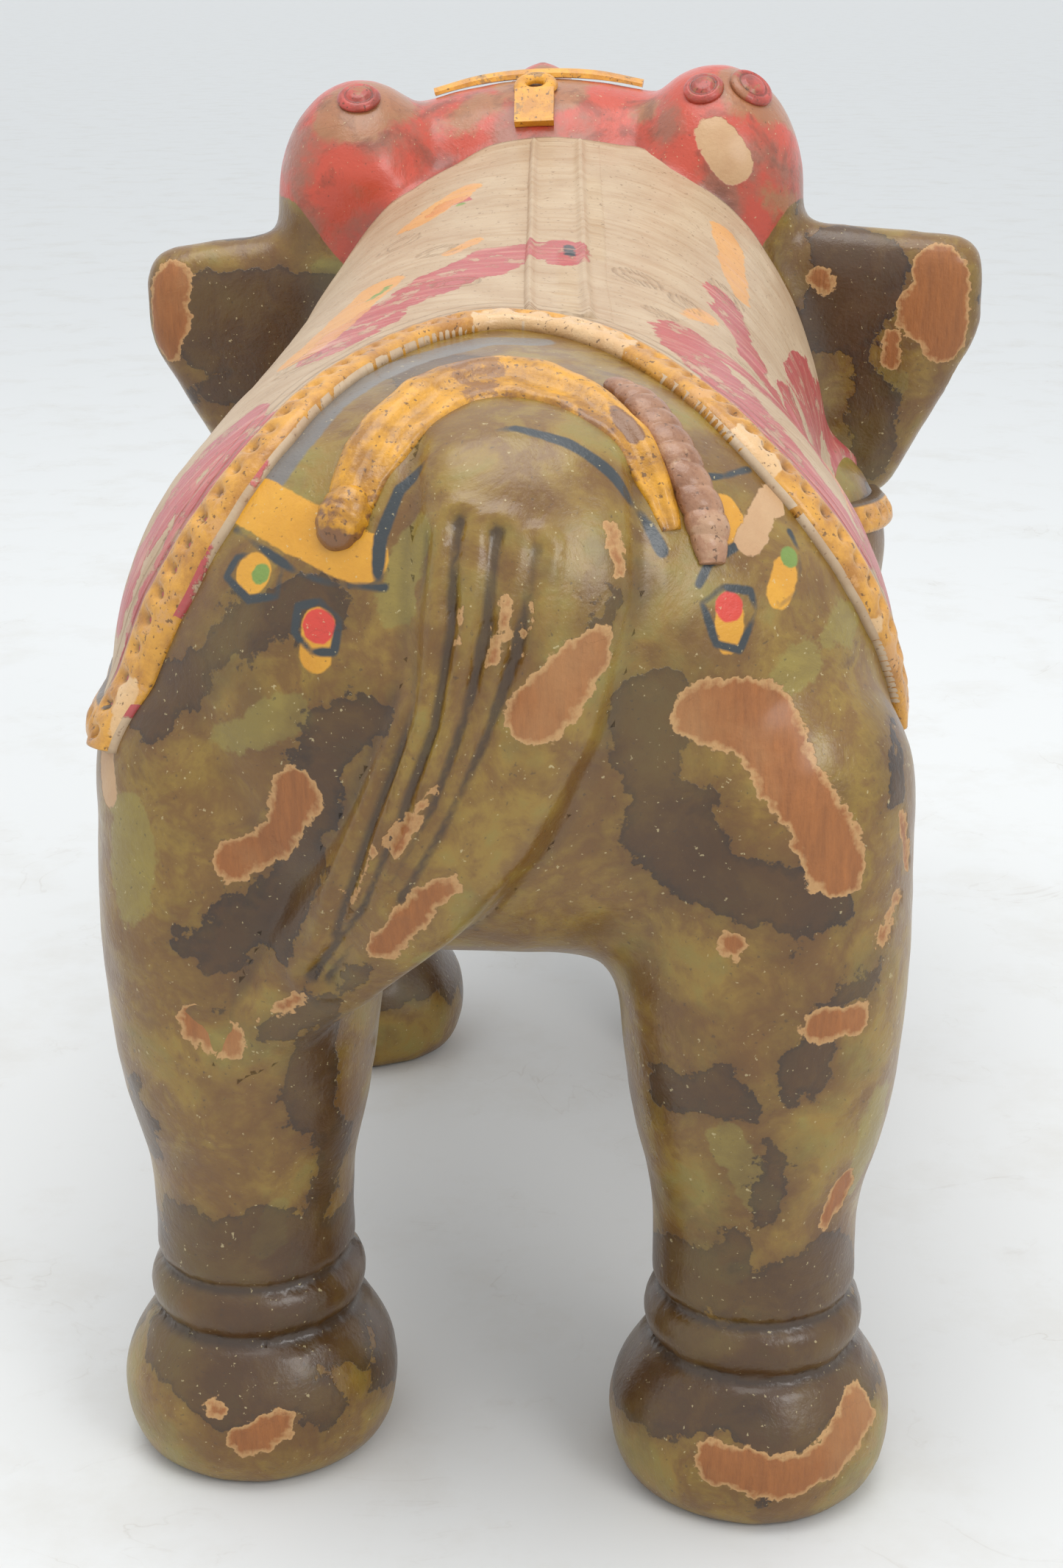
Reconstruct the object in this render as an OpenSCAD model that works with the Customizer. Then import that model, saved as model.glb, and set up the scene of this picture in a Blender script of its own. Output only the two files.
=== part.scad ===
// Elephant figurine: a torso block on four turned legs, with a head block, ears, trunk and
// tusks set in on tenons and dowels, and raised gesso ornament over the joined wood.
// +X is the animal's left, -Y is its front and Z = 0 is the ground.

/* [Torso] */
// Length of the barrel, rump to the end of the neck
torso_len = 197; // [165:1:238]
// Width across the flanks
torso_w = 107; // [90:1:130]
// Height from the leg seats to the middle of the back
torso_deep = 78; // [65:1:95]

/* [Legs] */
// Height of a leg, ground to seat
leg_h = 76; // [63:1:92]
// Diameter of a foot at its widest
foot_d = 38.5; // [33:0.5:45]
// Height of a foot, ground to its neck
foot_h = 18.5; // [15:0.5:23]
// Diameter at the ankle, between the two grooves
ankle_d = 28.5; // [24:0.5:33]
// Diameter at the seat
thigh_d = 39; // [34:1:44]
// Depth of the two grooves round the ankle
groove_r = 1.1; // [0.6:0.1:1.8]
// Height of the lower groove
groove_h = 21; // [17:0.5:26]
// Distance between the two grooves
groove_gap = 7.5; // [5:0.5:10]
// How far a leg's centre is in from the flank
leg_inset = 19; // [17:0.5:21]
// Rear seats, in from the rump
rear_seat = 28; // [24:1:36]
// Extra distance of each front leg's centre from the middle
front_wide = 2.5; // [0:0.5:4]
// How much further back the right rear leg stands
rear_lag = 5; // [0:0.5:8]
// Front seats, in from the end of the neck
front_seat = 37; // [31:1:43]
// Diameter of the round tenon on each leg
tenon_d = 14; // [10:0.5:18]
// Length of the round tenon on each leg
tenon_len = 24; // [16:1:30]

/* [Head] */
// Width of the skull
head_w = 82; // [68:1:98]
// Depth of the skull, back to brow
head_deep = 60; // [50:1:72]
// Height of the skull
head_h = 70; // [59:1:83]
// Centre of the skull above the leg seats
head_rise = 64; // [54:1:76]
// Diameter of each crown dome
dome_d = 32; // [27:1:38]
// Distance between the dome centres
dome_gap = 64; // [54:1:76]
// Dome centres above the skull's centre
dome_rise = 18; // [15:1:22]
// Lean of the crown towards the left
head_lean = 2.5; // [0:0.5:4]
// How far the head sits to the left of the neck
head_shift = 3.5; // [0:0.5:5]
// Diameter of the forehead boss
boss_d = 15; // [12:1:18]
// Diameter of the neck dowel
neck_dowel_d = 16; // [10:0.5:20]
// Length of the neck dowel
neck_dowel_len = 44; // [30:1:54]

/* [Ears] */
// Distance between the ear tips
ear_span = 153; // [140:1:180]
// Thickness of an ear
ear_thick = 12; // [9:0.5:15]
// Height of an ear
ear_drop = 52; // [44:1:62]
// Diameter of an ear dowel
ear_dowel_d = 6; // [4:0.5:8]
// Length of an ear dowel
ear_dowel_len = 22; // [16:1:26]

/* [Trunk and tusks] */
// Diameter of the trunk at its root
trunk_root_d = 33; // [27:1:39]
// Diameter of the trunk at its tip
trunk_tip_d = 12; // [9:1:15]
// Diameter of the trunk's tenon
trunk_tenon_d = 14; // [10:0.5:18]
// Length of a tusk outside its socket
tusk_len = 27; // [18:1:36]
// Diameter of a tusk at its root
tusk_d = 8; // [6:0.5:10]
// Diameter of a tusk's peg
tusk_peg_d = 5; // [3:0.5:7]

/* [Tail] */
// Width of the tail at its root
tail_w = 28; // [22:1:34]
// How far the tail stands out of the rump
tail_proud = 5; // [3:0.5:8]
// Diameter of the two pegs that hold the tail
tail_peg_d = 4; // [3:0.5:6]

/* [Gesso ornament] */
// Thickness of the saddle cloth
cloth_thick = 1.2; // [0.8:0.1:2]
// How far the border stands above the cloth
border_thick = 0.9; // [0.5:0.1:1.6]
// Width of the border
border_w = 5.5; // [4:0.5:8]
// Width of the band along the spine, over its two cords
spine_w = 8.5; // [7:0.5:11]
// How far the spine band strays to the right at the rump
spine_drift = 5.5; // [0:0.5:7]
// Height of the cords along the spine band
cord_h = 1.2; // [0.8:0.1:1.8]
// Width of the crupper strap at its knob
strap_w = 7; // [5.5:0.5:8.5]
// Height of the crupper strap
strap_thick = 2.4; // [1.6:0.2:3.2]
// Diameter of the ribbed rope beside the strap
rope_d = 5; // [4:0.5:6]
// Diameter of the knot's ring on the crown
knot_d = 8; // [6:0.5:10]
// Diameter of the rosettes on the crown
rosette_d = 7; // [5:0.5:9]
// Diameter of an eye
eye_d = 6; // [4.5:0.5:7.5]

/* [Fits] */
// Clearance all round a tenon or dowel in its bore
fit_gap = 0.1; // [0.05:0.05:0.3]
// Room left past the end of a tenon or dowel
end_gap = 1; // [0.5:0.5:2]
// Glue line between faces that follow each other
glue_gap = 0.15; // [0.1:0.05:0.4]

/* [Hidden] */
$fn = 64;

// Places that the pieces share. The trunk reaches ahead of the neck's end and the tail
// stands behind the rump, and the origin is midway between the two
trunk_reach = 54;
rump_y = (torso_len + trunk_reach - tail_proud + 1.7) / 2;
neck_y = rump_y - torso_len;
leg_x = torso_w / 2 - leg_inset;
front_x = leg_x + front_wide;
rear_left_y = rump_y - rear_seat;
rear_right_y = rear_left_y + rear_lag;
front_y = neck_y + front_seat;
skull = [head_shift, neck_y + 4, leg_h + head_rise];

// The neck joint is a plane that leans back as it rises
joint_lean = 18;
joint = [0, neck_y + 21, leg_h + 0.7 * torso_deep];

// Barrel sections from rump to neck. Each row is the share of the length, then the half
// width as a share of half the torso's width, then the top, middle and bottom of the
// section above the leg seats as shares of the torso's depth, then how far the section
// strays to the left as a share of half the width.
barrel = [
  [0.000, 0.03, 0.50, 0.46, 0.42, 0],
  [0.006, 0.24, 0.58, 0.45, 0.31, 0],
  [0.025, 0.47, 0.72, 0.43, 0.18, 0],
  [0.060, 0.70, 0.85, 0.40, 0.06, 0],
  [0.130, 0.91, 0.94, 0.37, -0.02, 0],
  [0.260, 0.97, 0.96, 0.37, -0.06, 0.02],
  [0.460, 0.90, 1.00, 0.37, -0.05, 0.05],
  [0.660, 0.88, 1.06, 0.40, -0.03, 0.03],
  [0.820, 0.88, 1.14, 0.46, 0.04, 0],
  [0.920, 0.80, 1.17, 0.55, 0.16, 0],
  [1.000, 0.60, 1.10, 0.62, 0.32, 0]
];
// Power of the section's curve: 2 is an ellipse, and more is squarer
fold = 2.2;
sides = 40;

// Rear edge of the cloth and its front edge: degrees down from the spine, share of the length
cloth_back = [[0, 0.305], [6, 0.29], [14, 0.25], [21, 0.19], [28, 0.14], [36, 0.11],
  [47, 0.10], [62, 0.10], [90, 0.125]];
cloth_front = [[0, 0.885], [12, 0.885], [25, 0.84], [90, 0.83]];
// How much further back the left corner of the cloth hangs, as a share of the length
cloth_skew = 0.012;
cloth_top = 2 * glue_gap + cloth_thick;

// Way round the tail's root: place from the spine, from the rump and above the leg seats,
// then half the width and the height as shares
tail_hub = [0, rump_y - 40, leg_h + 28];
tail_peg_len = 18;

function unit(v) = v / norm(v);
function bend(c, power) = sign(c) * pow(abs(c), 2 / power);

// A smooth curve through rows whose first entry is where each one stands
function slot_of(rows, x, i = 0) = i >= len(rows) - 2 || x < rows[i + 1][0] ? i : slot_of(rows, x, i + 1);
function slope(rows, i) =
  let(a = rows[max(i - 1, 0)], b = rows[min(i + 1, len(rows) - 1)]) (b - a) / (b[0] - a[0]);
function curve(rows, x) =
  let(i = slot_of(rows, x), a = rows[i], b = rows[i + 1], run = b[0] - a[0], t = (x - a[0]) / run)
  a * (2 * t - 3) * t * t + a + slope(rows, i) * run * t * pow(1 - t, 2)
  + b * (3 - 2 * t) * t * t - slope(rows, i + 1) * run * t * t * (1 - t);

// A point on the barrel: share of the length, angle round the section, height above the skin
function skin(share, angle, grow = 0) =
  let(
    row = curve(barrel, share),
    reach = angle_up(angle) ? row[2] - row[3] : row[3] - row[4]
  )
  [
    row[5] * torso_w / 2 + (row[1] * torso_w / 2 + grow) * bend(cos(angle), fold),
    rump_y - share * torso_len,
    leg_h + row[3] * torso_deep + (reach * torso_deep + grow) * bend(sin(angle), fold)
  ];
function angle_up(angle) = sin(angle) > 0;

// Joins rings of equal length into a closed solid; each ring turns about the way it travels
module loft(rings) {
  count = len(rings[0]);
  last = len(rings) - 1;
  polyhedron(
    points = [for (ring = rings) each ring],
    faces = concat(
      [[for (k = [0:count - 1]) k]],
      [[for (k = [count - 1:-1:0]) last * count + k]],
      [for (j = [0:last - 1]) for (k = [0:count - 1])
        let(a = j * count + k, b = j * count + (k + 1) % count)
        each [[a, a + count, b + count], [a, b + count, b]]]
    )
  );
}

// A thin solid between two sheets of points, the inner one first
module shell(inner, outer) {
  rows = len(inner);
  cols = len(inner[0]);
  half = rows * cols;
  function at(i, j) = i * cols + j;
  function quad(a, b, c, d) = [[a, b, c], [a, c, d]];
  polyhedron(
    points = concat([for (row = inner) each row], [for (row = outer) each row]),
    faces = concat(
      [for (i = [0:rows - 2]) for (j = [0:cols - 2]) each concat(
        quad(at(i, j), at(i, j + 1), at(i + 1, j + 1), at(i + 1, j)),
        quad(half + at(i, j), half + at(i + 1, j), half + at(i + 1, j + 1), half + at(i, j + 1)))],
      [for (i = [0:rows - 2]) each concat(
        quad(at(i, 0), at(i + 1, 0), half + at(i + 1, 0), half + at(i, 0)),
        quad(at(i + 1, cols - 1), at(i, cols - 1), half + at(i, cols - 1), half + at(i + 1, cols - 1)))],
      [for (j = [0:cols - 2]) each concat(
        quad(at(0, j + 1), at(0, j), half + at(0, j), half + at(0, j + 1)),
        quad(at(rows - 1, j), at(rows - 1, j + 1), half + at(rows - 1, j + 1), half + at(rows - 1, j)))]
    )
  );
}

module egg(size) scale(size) sphere(d = 1);

module barrel_solid(from, to, rings, grow = 0) {
  loft([for (j = [0:rings]) let(share = from + (to - from) * j / rings)
    [for (k = [0:sides - 1]) skin(share, 360 * k / sides, grow)]]);
}

// All that lies in front of the neck joint
module ahead() {
  translate(joint) rotate([-joint_lean, 0, 0]) translate([-150, -300, -200]) cube([300, 300, 400]);
}
module astern() {
  translate(joint) rotate([-joint_lean, 0, 0]) translate([-150, 0, -200]) cube([300, 300, 400]);
}

// Mass over a leg, flat where the leg seats
module haunch(x, y, bulge, grow = 0) {
  hull() {
    translate([x, y, leg_h]) cylinder(d = thigh_d + 2 * grow, h = 1, $fn = 48);
    translate([x + sign(x) * bulge / 4, y, leg_h + 0.3 * torso_deep])
      sphere(d = thigh_d + bulge + 2 * grow, $fn = 32);
  }
}
module haunches(grow = 0) {
  haunch(leg_x, rear_left_y, -1, grow);
  haunch(-leg_x, rear_right_y, -1, grow);
  haunch(front_x, front_y, 4, grow);
  haunch(-front_x, front_y, 4, grow);
}

// Room for a leg: a seat for the shank where the belly hangs below it, and a bore for the tenon
module leg_bore(x, y) {
  translate([x, y, leg_h - 12]) cylinder(d = thigh_d + 2 * glue_gap, h = 12);
  translate([x, y, leg_h - 1]) cylinder(d = tenon_d + 2 * fit_gap, h = tenon_len + end_gap + 1);
}

module neck_pin(d, length) {
  translate(joint) rotate([90 - joint_lean, 0, 0]) cylinder(d = d, h = length, center = true);
}

module torso_block() {
  color("darkkhaki") difference() {
    union() {
      barrel_solid(0, 1, 30);
      haunches();
    }
    ahead();
    leg_bore(leg_x, rear_left_y);
    leg_bore(-leg_x, rear_right_y);
    leg_bore(front_x, front_y);
    leg_bore(-front_x, front_y);
    neck_pin(neck_dowel_d + 2 * fit_gap, neck_dowel_len + 2 * end_gap);
    pegs(tail_peg_d + 2 * fit_gap, tail_peg_len + 2 * end_gap);
  }
}

// A turned leg: a ball foot, a grooved ankle, a swelling shank and a round tenon
module leg(x, y, grow = 0) {
  foot_r = foot_d / 2 + grow;
  ankle_r = ankle_d / 2 + grow;
  thigh_r = thigh_d / 2 + grow;
  ankle_top = groove_h + groove_gap + 3;
  shank = leg_h - ankle_top;
  profile = [
    [0, foot_r - 3], [0.1 * foot_h, foot_r - 1.4], [0.3 * foot_h, foot_r - 0.3],
    [0.6 * foot_h, foot_r], [0.85 * foot_h, foot_r - 1.4], [foot_h, ankle_r + 1.6],
    [groove_h + 1, ankle_r + 0.3], [groove_h + groove_gap / 2, ankle_r + 0.4],
    [ankle_top, ankle_r - 0.6], [ankle_top + 0.25 * shank, ankle_r],
    [ankle_top + 0.5 * shank, (ankle_r + thigh_r) / 2],
    [ankle_top + 0.8 * shank, thigh_r - 0.7], [leg_h, thigh_r]
  ];
  steps = 36;
  translate([x, y, 0]) {
    difference() {
      rotate_extrude($fn = 96) polygon(concat([[0, 0]],
        [for (j = [0:steps]) let(p = curve(profile, leg_h * j / steps)) [p[1], p[0]]], [[0, leg_h]]));
      for (j = [0, 1]) translate([0, 0, groove_h + j * groove_gap])
        rotate_extrude($fn = 96) translate([ankle_r + 0.2, 0]) circle(r = groove_r, $fn = 24);
    }
    translate([0, 0, leg_h - 1]) cylinder(d = tenon_d + 2 * grow, h = tenon_len + 1);
  }
}

module leg_rear_left() color("darkkhaki") leg(leg_x, rear_left_y);
module leg_rear_right() color("darkkhaki") leg(-leg_x, rear_right_y);
module leg_front_left() color("darkkhaki") leg(front_x, front_y);
module leg_front_right() color("darkkhaki") leg(-front_x, front_y);

// The rounded masses that make up the head; grow makes each larger all round
module on_skull() translate(skull) rotate([0, head_lean, 0]) children();
module brain_case(grow = 0) on_skull() egg([head_w, head_deep, head_h] + 2 * grow * [1, 1, 1]);
module crown(grow = 0) on_skull() translate([0, 2, head_h / 2 - 12])
  egg([dome_gap + 6, 0.6 * head_deep, 30] + 2 * grow * [1, 1, 1]);
module dome(side, grow = 0) on_skull() translate([side * dome_gap / 2, 10, dome_rise])
  egg([dome_d, dome_d + 4, dome_d + 12] + 2 * grow * [1, 1, 1]);
module boss() on_skull() translate([0, -10, head_h / 2 - 4]) egg([boss_d, boss_d + 4, boss_d + 5]);
module jaw(grow = 0) on_skull() translate([0, -18, -14])
  egg([0.56 * head_w, 0.6 * head_deep, 0.62 * head_h] + 2 * grow * [1, 1, 1]);
module neck(grow = 0) {
  difference() {
    barrel_solid(0.78, 1, 7, grow);
    astern();
  }
}

ear_pin_z = 4;
ear_pin_x = head_w / 2 + 1;
module ear_pin(side, d, length) {
  translate(skull) rotate([0, head_lean, 0]) translate([side * ear_pin_x, 14, ear_pin_z])
    rotate([0, 90, 0]) cylinder(d = d, h = length, center = true);
}

// The trunk's upper end is a ball sunk in a socket that runs out under the jaw
trunk_pin_len = 20;
module at_trunk() on_skull() translate([0, -head_deep / 3, -8]) children();
module trunk_pin(d, length) at_trunk() rotate([-90, 0, 0]) cylinder(d = d, h = length);
module trunk_socket() {
  at_trunk() {
    sphere(d = trunk_root_d + 2 * glue_gap);
    rotate([160, 0, 0]) cylinder(d = trunk_root_d, h = head_h);
  }
}

tusk_at = [trunk_root_d / 2 + tusk_d / 2 + 0.5, -0.57 * head_deep / 2, -0.57 * head_h / 2];
tusk_peg_len = 20;
module at_tusk(side) on_skull() translate([side * tusk_at[0], tusk_at[1], tusk_at[2]])
  rotate([102, 0, side * 10]) children();
module tusk_pin(side, d, length) at_tusk(side) cylinder(d = d, h = length, center = true);

module at_eye(side) on_skull() translate([side * 0.35 * head_w, -0.36 * head_deep, 0])
  rotate([90, 0, side * 35]) children();
module eye_socket(side) at_eye(side) translate([0, 0, -eye_d / 2 - glue_gap])
  cylinder(d = eye_d + 2 * glue_gap, h = eye_d);

module head_block() {
  color("indianred") difference() {
    union() {
      neck();
      brain_case();
      crown();
      dome(1);
      dome(-1);
      boss();
      jaw();
    }
    astern();
    neck_pin(neck_dowel_d + 2 * fit_gap, neck_dowel_len + 2 * end_gap);
    for (side = [-1, 1]) {
      ear_pin(side, ear_dowel_d + 2 * fit_gap, ear_dowel_len + 2 * end_gap);
      tusk_pin(side, tusk_peg_d + 2 * fit_gap, tusk_peg_len + 2 * end_gap);
      eye_socket(side);
    }
    trunk_socket();
    trunk_pin(trunk_tenon_d + 2 * fit_gap, trunk_root_d / 2 + trunk_pin_len + end_gap);
  }
}

module neck_dowel() color("burlywood") neck_pin(neck_dowel_d, neck_dowel_len);

// A thick fan with a rounded edge, coped to the side of the head
module ear(side) {
  r = ear_thick / 2;
  tip_x = ear_span / 2 - r;
  root_x = head_w / 2 - 4;
  top = 14 - r;
  difference() {
    rotate_about_skull(head_lean / 2) hull() {
      at_ear(side * root_x, 14, top) sphere(r = r, $fn = 28);
      at_ear(side * tip_x, 17, top - 3) sphere(r = r, $fn = 28);
      at_ear(side * tip_x, 17, top - 0.25 * ear_drop) sphere(r = r, $fn = 28);
      at_ear(side * (root_x + 19), 13, top - ear_drop + 2 * r) sphere(r = r, $fn = 28);
      at_ear(side * (root_x + 3), 13, top - 0.62 * ear_drop) sphere(r = r, $fn = 28);
    }
    brain_case(glue_gap);
    dome(side, glue_gap);
    neck(glue_gap);
    ear_pin(side, ear_dowel_d + 2 * fit_gap, ear_dowel_len + 2 * end_gap);
  }
}
module rotate_about_skull(lean) translate(skull) rotate([0, lean, 0]) translate(-skull) children();
// A place given from the middle of the body and the height of the skull
module at_ear(x, back, up) translate([x, skull[1] + back, skull[2] + up]) children();

module ear_left() color("darkkhaki") ear(1);
module ear_right() color("darkkhaki") ear(-1);
module ear_dowel_left() color("burlywood") ear_pin(1, ear_dowel_d, ear_dowel_len);
module ear_dowel_right() color("burlywood") ear_pin(-1, ear_dowel_d, ear_dowel_len);

// A tube along rows of place, half width and half height; its flat faces away from the hub
function ribbon_rings(rows, hub, count) = [for (j = [0:len(rows) - 1]) let(
    before = rows[max(j - 1, 0)], row = rows[j], after = rows[min(j + 1, len(rows) - 1)],
    p = [row[1], row[2], row[3]],
    along = unit([after[1] - before[1], after[2] - before[2], after[3] - before[3]]),
    side = unit(cross(p - hub, along)),
    out = cross(along, side)
  ) [for (k = [0:count - 1]) let(a = 360 * k / count) p + side * row[4] * cos(a) + out * row[5] * sin(a)]];

function walk(rows, steps) =
  [for (j = [0:steps]) curve(rows, rows[0][0] + (rows[len(rows) - 1][0] - rows[0][0]) * j / steps)];

// The trunk hangs from its socket, tapers and curls forward at the tip
module trunk() {
  root_r = trunk_root_d / 2;
  tip_r = trunk_tip_d / 2;
  fall = (root_r - tip_r) / 9;
  // How far forward of the ball, and how far below it, each section stands
  way = [[0, 0], [4.5, 12], [9, 25], [13, 39], [15.5, 54], [16.5, 69], [17, 83], [19.5, 95], [25, 103], [32, 103.5]];
  rows = [for (j = [0:9]) [j, 0, -way[j][0], -way[j][1], root_r - 0.4 - fall * j, root_r - 0.4 - fall * j]];
  color("darkkhaki") {
    at_trunk() {
      sphere(d = trunk_root_d);
      loft(ribbon_rings(walk(rows, 27), [0, 60, -200], 24));
      translate([0, -way[9][0], -way[9][1]]) sphere(r = tip_r);
    }
    trunk_pin(trunk_tenon_d, root_r + trunk_pin_len);
  }
}

// A tapering tusk on a round peg, coped to the cheek
module tusk(side) {
  color("wheat") {
    difference() {
      at_tusk(side) cylinder(d1 = tusk_d, d2 = 0.45 * tusk_d, h = tusk_len);
      brain_case(glue_gap);
      jaw(glue_gap);
    }
    tusk_pin(side, tusk_peg_d, tusk_peg_len);
  }
}
module tusk_left() tusk(1);
module tusk_right() tusk(-1);

// Round black eyes, half sunk in sockets drilled in the sides of the brow
module eye(side) color("black") at_eye(side) sphere(d = eye_d);
module eye_left() eye(1);
module eye_right() eye(-1);

// The torso's skin with a glue line, for coping what is laid on it
module coping(grow = glue_gap) {
  for (back = [0, grow]) translate([0, back, 0]) barrel_solid(0, 1, 30, grow);
}

// Two pegs that hold the tail to the rump: each is left, in from the rump, above the leg seats
module pegs(d, length) {
  for (place = [[-4, 13, 50], [1, 10, 26]]) translate([place[0], rump_y - place[1], leg_h + place[2]])
    rotate([90, 0, 0]) cylinder(d = d, h = length, center = true, $fn = 32);
}
module tail_pegs() color("burlywood") pegs(tail_peg_d, tail_peg_len);

// Carved tail, swept across the rump to the left and down the back of the left leg
module tail() {
  w = tail_w / 2;
  rows = [
    [0, -4, rump_y - 24, leg_h + 68, 0.9 * w, tail_proud],
    [1, -4, rump_y - 13, leg_h + 65, 1.05 * w, tail_proud],
    [2, -5, rump_y - 5, leg_h + 54, w, tail_proud],
    [3, -3, rump_y - 2, leg_h + 40, 0.9 * w, tail_proud],
    [4, 3, rump_y - 2, leg_h + 27, 0.87 * w, tail_proud],
    [5, 11, rump_y - 4.5, leg_h + 15, 0.8 * w, tail_proud],
    [6, 20, rump_y - 9, leg_h + 4, 0.68 * w, tail_proud],
    [7, 28, rump_y - 11, leg_h - 5, 0.45 * w, 0.8 * tail_proud],
    [8, 34, rump_y - 10, leg_h - 12, 0.12 * w, 0.4 * tail_proud]
  ];
  color("darkkhaki") difference() {
    loft(ribbon_rings(walk(rows, 32), tail_hub, 20));
    coping();
    haunch(leg_x, rear_left_y, -1, glue_gap);
    translate([0, 0, glue_gap]) leg(leg_x, rear_left_y, glue_gap);
    pegs(tail_peg_d + 2 * fit_gap, tail_peg_len + 2 * end_gap);
  }
}

function back_edge(angle) = let(off = abs(90 - angle))
  curve(cloth_back, off)[1] - (angle < 90 ? 1 : -1) * cloth_skew * min(1, off / 30);
function front_edge(angle) = curve(cloth_front, abs(90 - angle))[1];

// Points on the skin between two edges of the cloth
function sheet(from, to, rows, grow) = [for (i = [0:rows]) [for (k = [0:sides / 2])
  let(angle = 360 * k / sides) skin(from[k] + (to[k] - from[k]) * i / rows, angle, grow)]];
rear_line = [for (k = [0:sides / 2]) back_edge(360 * k / sides)];
front_line = [for (k = [0:sides / 2]) front_edge(360 * k / sides)];

module saddle_cloth() {
  color("tan") difference() {
    shell(sheet(rear_line, front_line, 30, glue_gap), sheet(rear_line, front_line, 30, glue_gap + cloth_thick));
    brain_case(glue_gap);
    dome(1, glue_gap);
    dome(-1, glue_gap);
    haunches(glue_gap);
  }
}

// Raised border along the rear edge and both hems of the cloth
module cloth_border() {
  inner_line = [for (share = rear_line) share + border_w / torso_len];
  hem = 8;
  color("goldenrod") difference() {
    union() {
      shell(sheet(rear_line, inner_line, 2, cloth_top), sheet(rear_line, inner_line, 2, cloth_top + border_thick));
      for (start = [0, 180 - hem]) shell(
        hem_sheet(start, hem, cloth_top), hem_sheet(start, hem, cloth_top + border_thick));
    }
    haunches(glue_gap);
  }
}
function hem_sheet(start, hem, grow) =
  let(back = start == 0 ? rear_line[0] : rear_line[sides / 2], front = front_line[0])
  [for (i = [0:30]) [for (k = [0:2]) skin(back + (front - back) * i / 30, start + hem * k / 2, grow)]];

// Height of the back above a place given by its distance left of the middle
function roof(x, share, grow) =
  let(
    row = curve(barrel, share),
    u = abs(x - row[5] * torso_w / 2) / (row[1] * torso_w / 2 + grow)
  )
  leg_h + row[3] * torso_deep + ((row[2] - row[3]) * torso_deep + grow) * pow(1 - pow(u, fold), 1 / fold);

// Band along the spine with a cord at each edge
module spine_band() {
  from = back_edge(90) + border_w / torso_len + 0.003;
  to = front_edge(90) - 0.004;
  heights = [0.1, 0.85, 1, 0.3, 0.25, 0.25, 0.3, 1, 0.85, 0.1];
  function strip(lift) = [for (i = [0:24]) let(share = from + (to - from) * i / 24)
    [for (k = [0:9]) let(x = spine_w * (0.5 - k / 9) - spine_drift * (24 - i) / 24)
      [x, rump_y - share * torso_len, roof(x, share, cloth_top) + lift * cord_h * heights[k]]]];
  color("tan") difference() {
    shell(strip(0), strip(1));
    brain_case(glue_gap);
  }
}

// Crupper strap, an arch over the tail's root with a knob at its left end
strap_rows = [
  [0, 16.5, 12, 1.1, 0.8], [1, 14.5, 15.5, 1, 1], [2, 10.5, 20.5, 1, 1], [3, 5, 26, 1, 1],
  [4, -2, 28.5, 1, 1], [5, -9, 26, 0.9, 1], [6, -14.5, 21, 0.7, 0.9], [7, -18.5, 16.5, 0.6, 0.8],
  [8, -21, 12.5, 0.4, 0.5]
];
rope_rows = [
  [0, -14, 33, 0.5], [1, -19, 26, 0.9], [2, -23, 19.5, 1], [3, -25.5, 14.5, 1],
  [4, -27.5, 11, 0.9], [5, -28, 8.5, 0.6]
];
// A place on the back from its distance left of the middle and in from the rump
function on_back(x, inset, grow) = [x, rump_y - inset, roof(x, inset / torso_len, grow)];

module crupper_strap() {
  rows = [for (row = strap_rows) let(p = on_back(row[1], row[2], 0))
    [row[0], p[0], p[1], p[2], row[3] * strap_w / 2, row[4] * strap_thick]];
  knob = on_back(17, 10.5, 0);
  color("goldenrod") difference() {
    union() {
      loft(ribbon_rings(walk(rows, 32), tail_hub, 14));
      translate(knob) egg([strap_w, strap_w + 1, strap_w]);
    }
    coping();
  }
}

// Twisted rope beside the strap, with a rib every couple of millimetres
module crupper_rope() {
  ribs = 9;
  rows = [for (row = rope_rows) let(p = on_back(row[1], row[2], 0))
    [row[0], p[0], p[1], p[2], row[3] * rope_d / 2, 0.9 * row[3] * rope_d / 2]];
  path = walk(rows, 4 * ribs);
  ribbed = [for (j = [0:4 * ribs]) let(p = path[j], swell = 1 - 0.22 * pow(sin(45 * j), 2))
    [p[0], p[1], p[2], p[3], p[4] * swell, p[5] * swell]];
  color("sienna") difference() {
    loft(ribbon_rings(ribbed, tail_hub, 12));
    coping();
  }
}

// Ring and plate of the knot behind the crown
module crown_knot() {
  color("goldenrod") difference() {
    on_skull() {
      translate([0, 9, head_h / 2 + 1.9]) rotate([-26, 0, 0])
        rotate_extrude() translate([knot_d / 2 - 1.3, 0]) circle(r = 1.3, $fn = 24);
      translate([0, 15, head_h / 2 - 1.8]) rotate([-48, 0, 0]) cube([knot_d - 1, 7.5, 3.4], center = true);
    }
    brain_case(glue_gap);
    crown(glue_gap);
  }
}

// Cord that ties the two domes across the crown
module head_band() {
  top = head_h / 2 + 3.2;
  rows = [
    [0, 19, 1, top - 2.6, 1.5, 1.5], [1, 10, 0.5, top - 0.6, 1.5, 1.5], [2, 0, 0, top, 1.5, 1.5],
    [3, -10, 0.5, top - 0.6, 1.5, 1.5], [4, -19, 1, top - 2.6, 1.5, 1.5]
  ];
  color("goldenrod") difference() {
    on_skull() loft(ribbon_rings(walk(rows, 16), [0, 0, 0], 12));
    crown(glue_gap);
  }
}

// Raised rosettes on the backs of the domes
module head_rosettes() {
  color("firebrick") {
    difference() {
      on_skull() for (place = [[-27, 23, 33], [-40, 20, 32]]) translate(place) sphere(d = rosette_d);
      dome(-1, glue_gap);
    }
    difference() {
      on_skull() translate([33, 23, 33]) sphere(d = rosette_d);
      dome(1, glue_gap);
    }
  }
}

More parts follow.
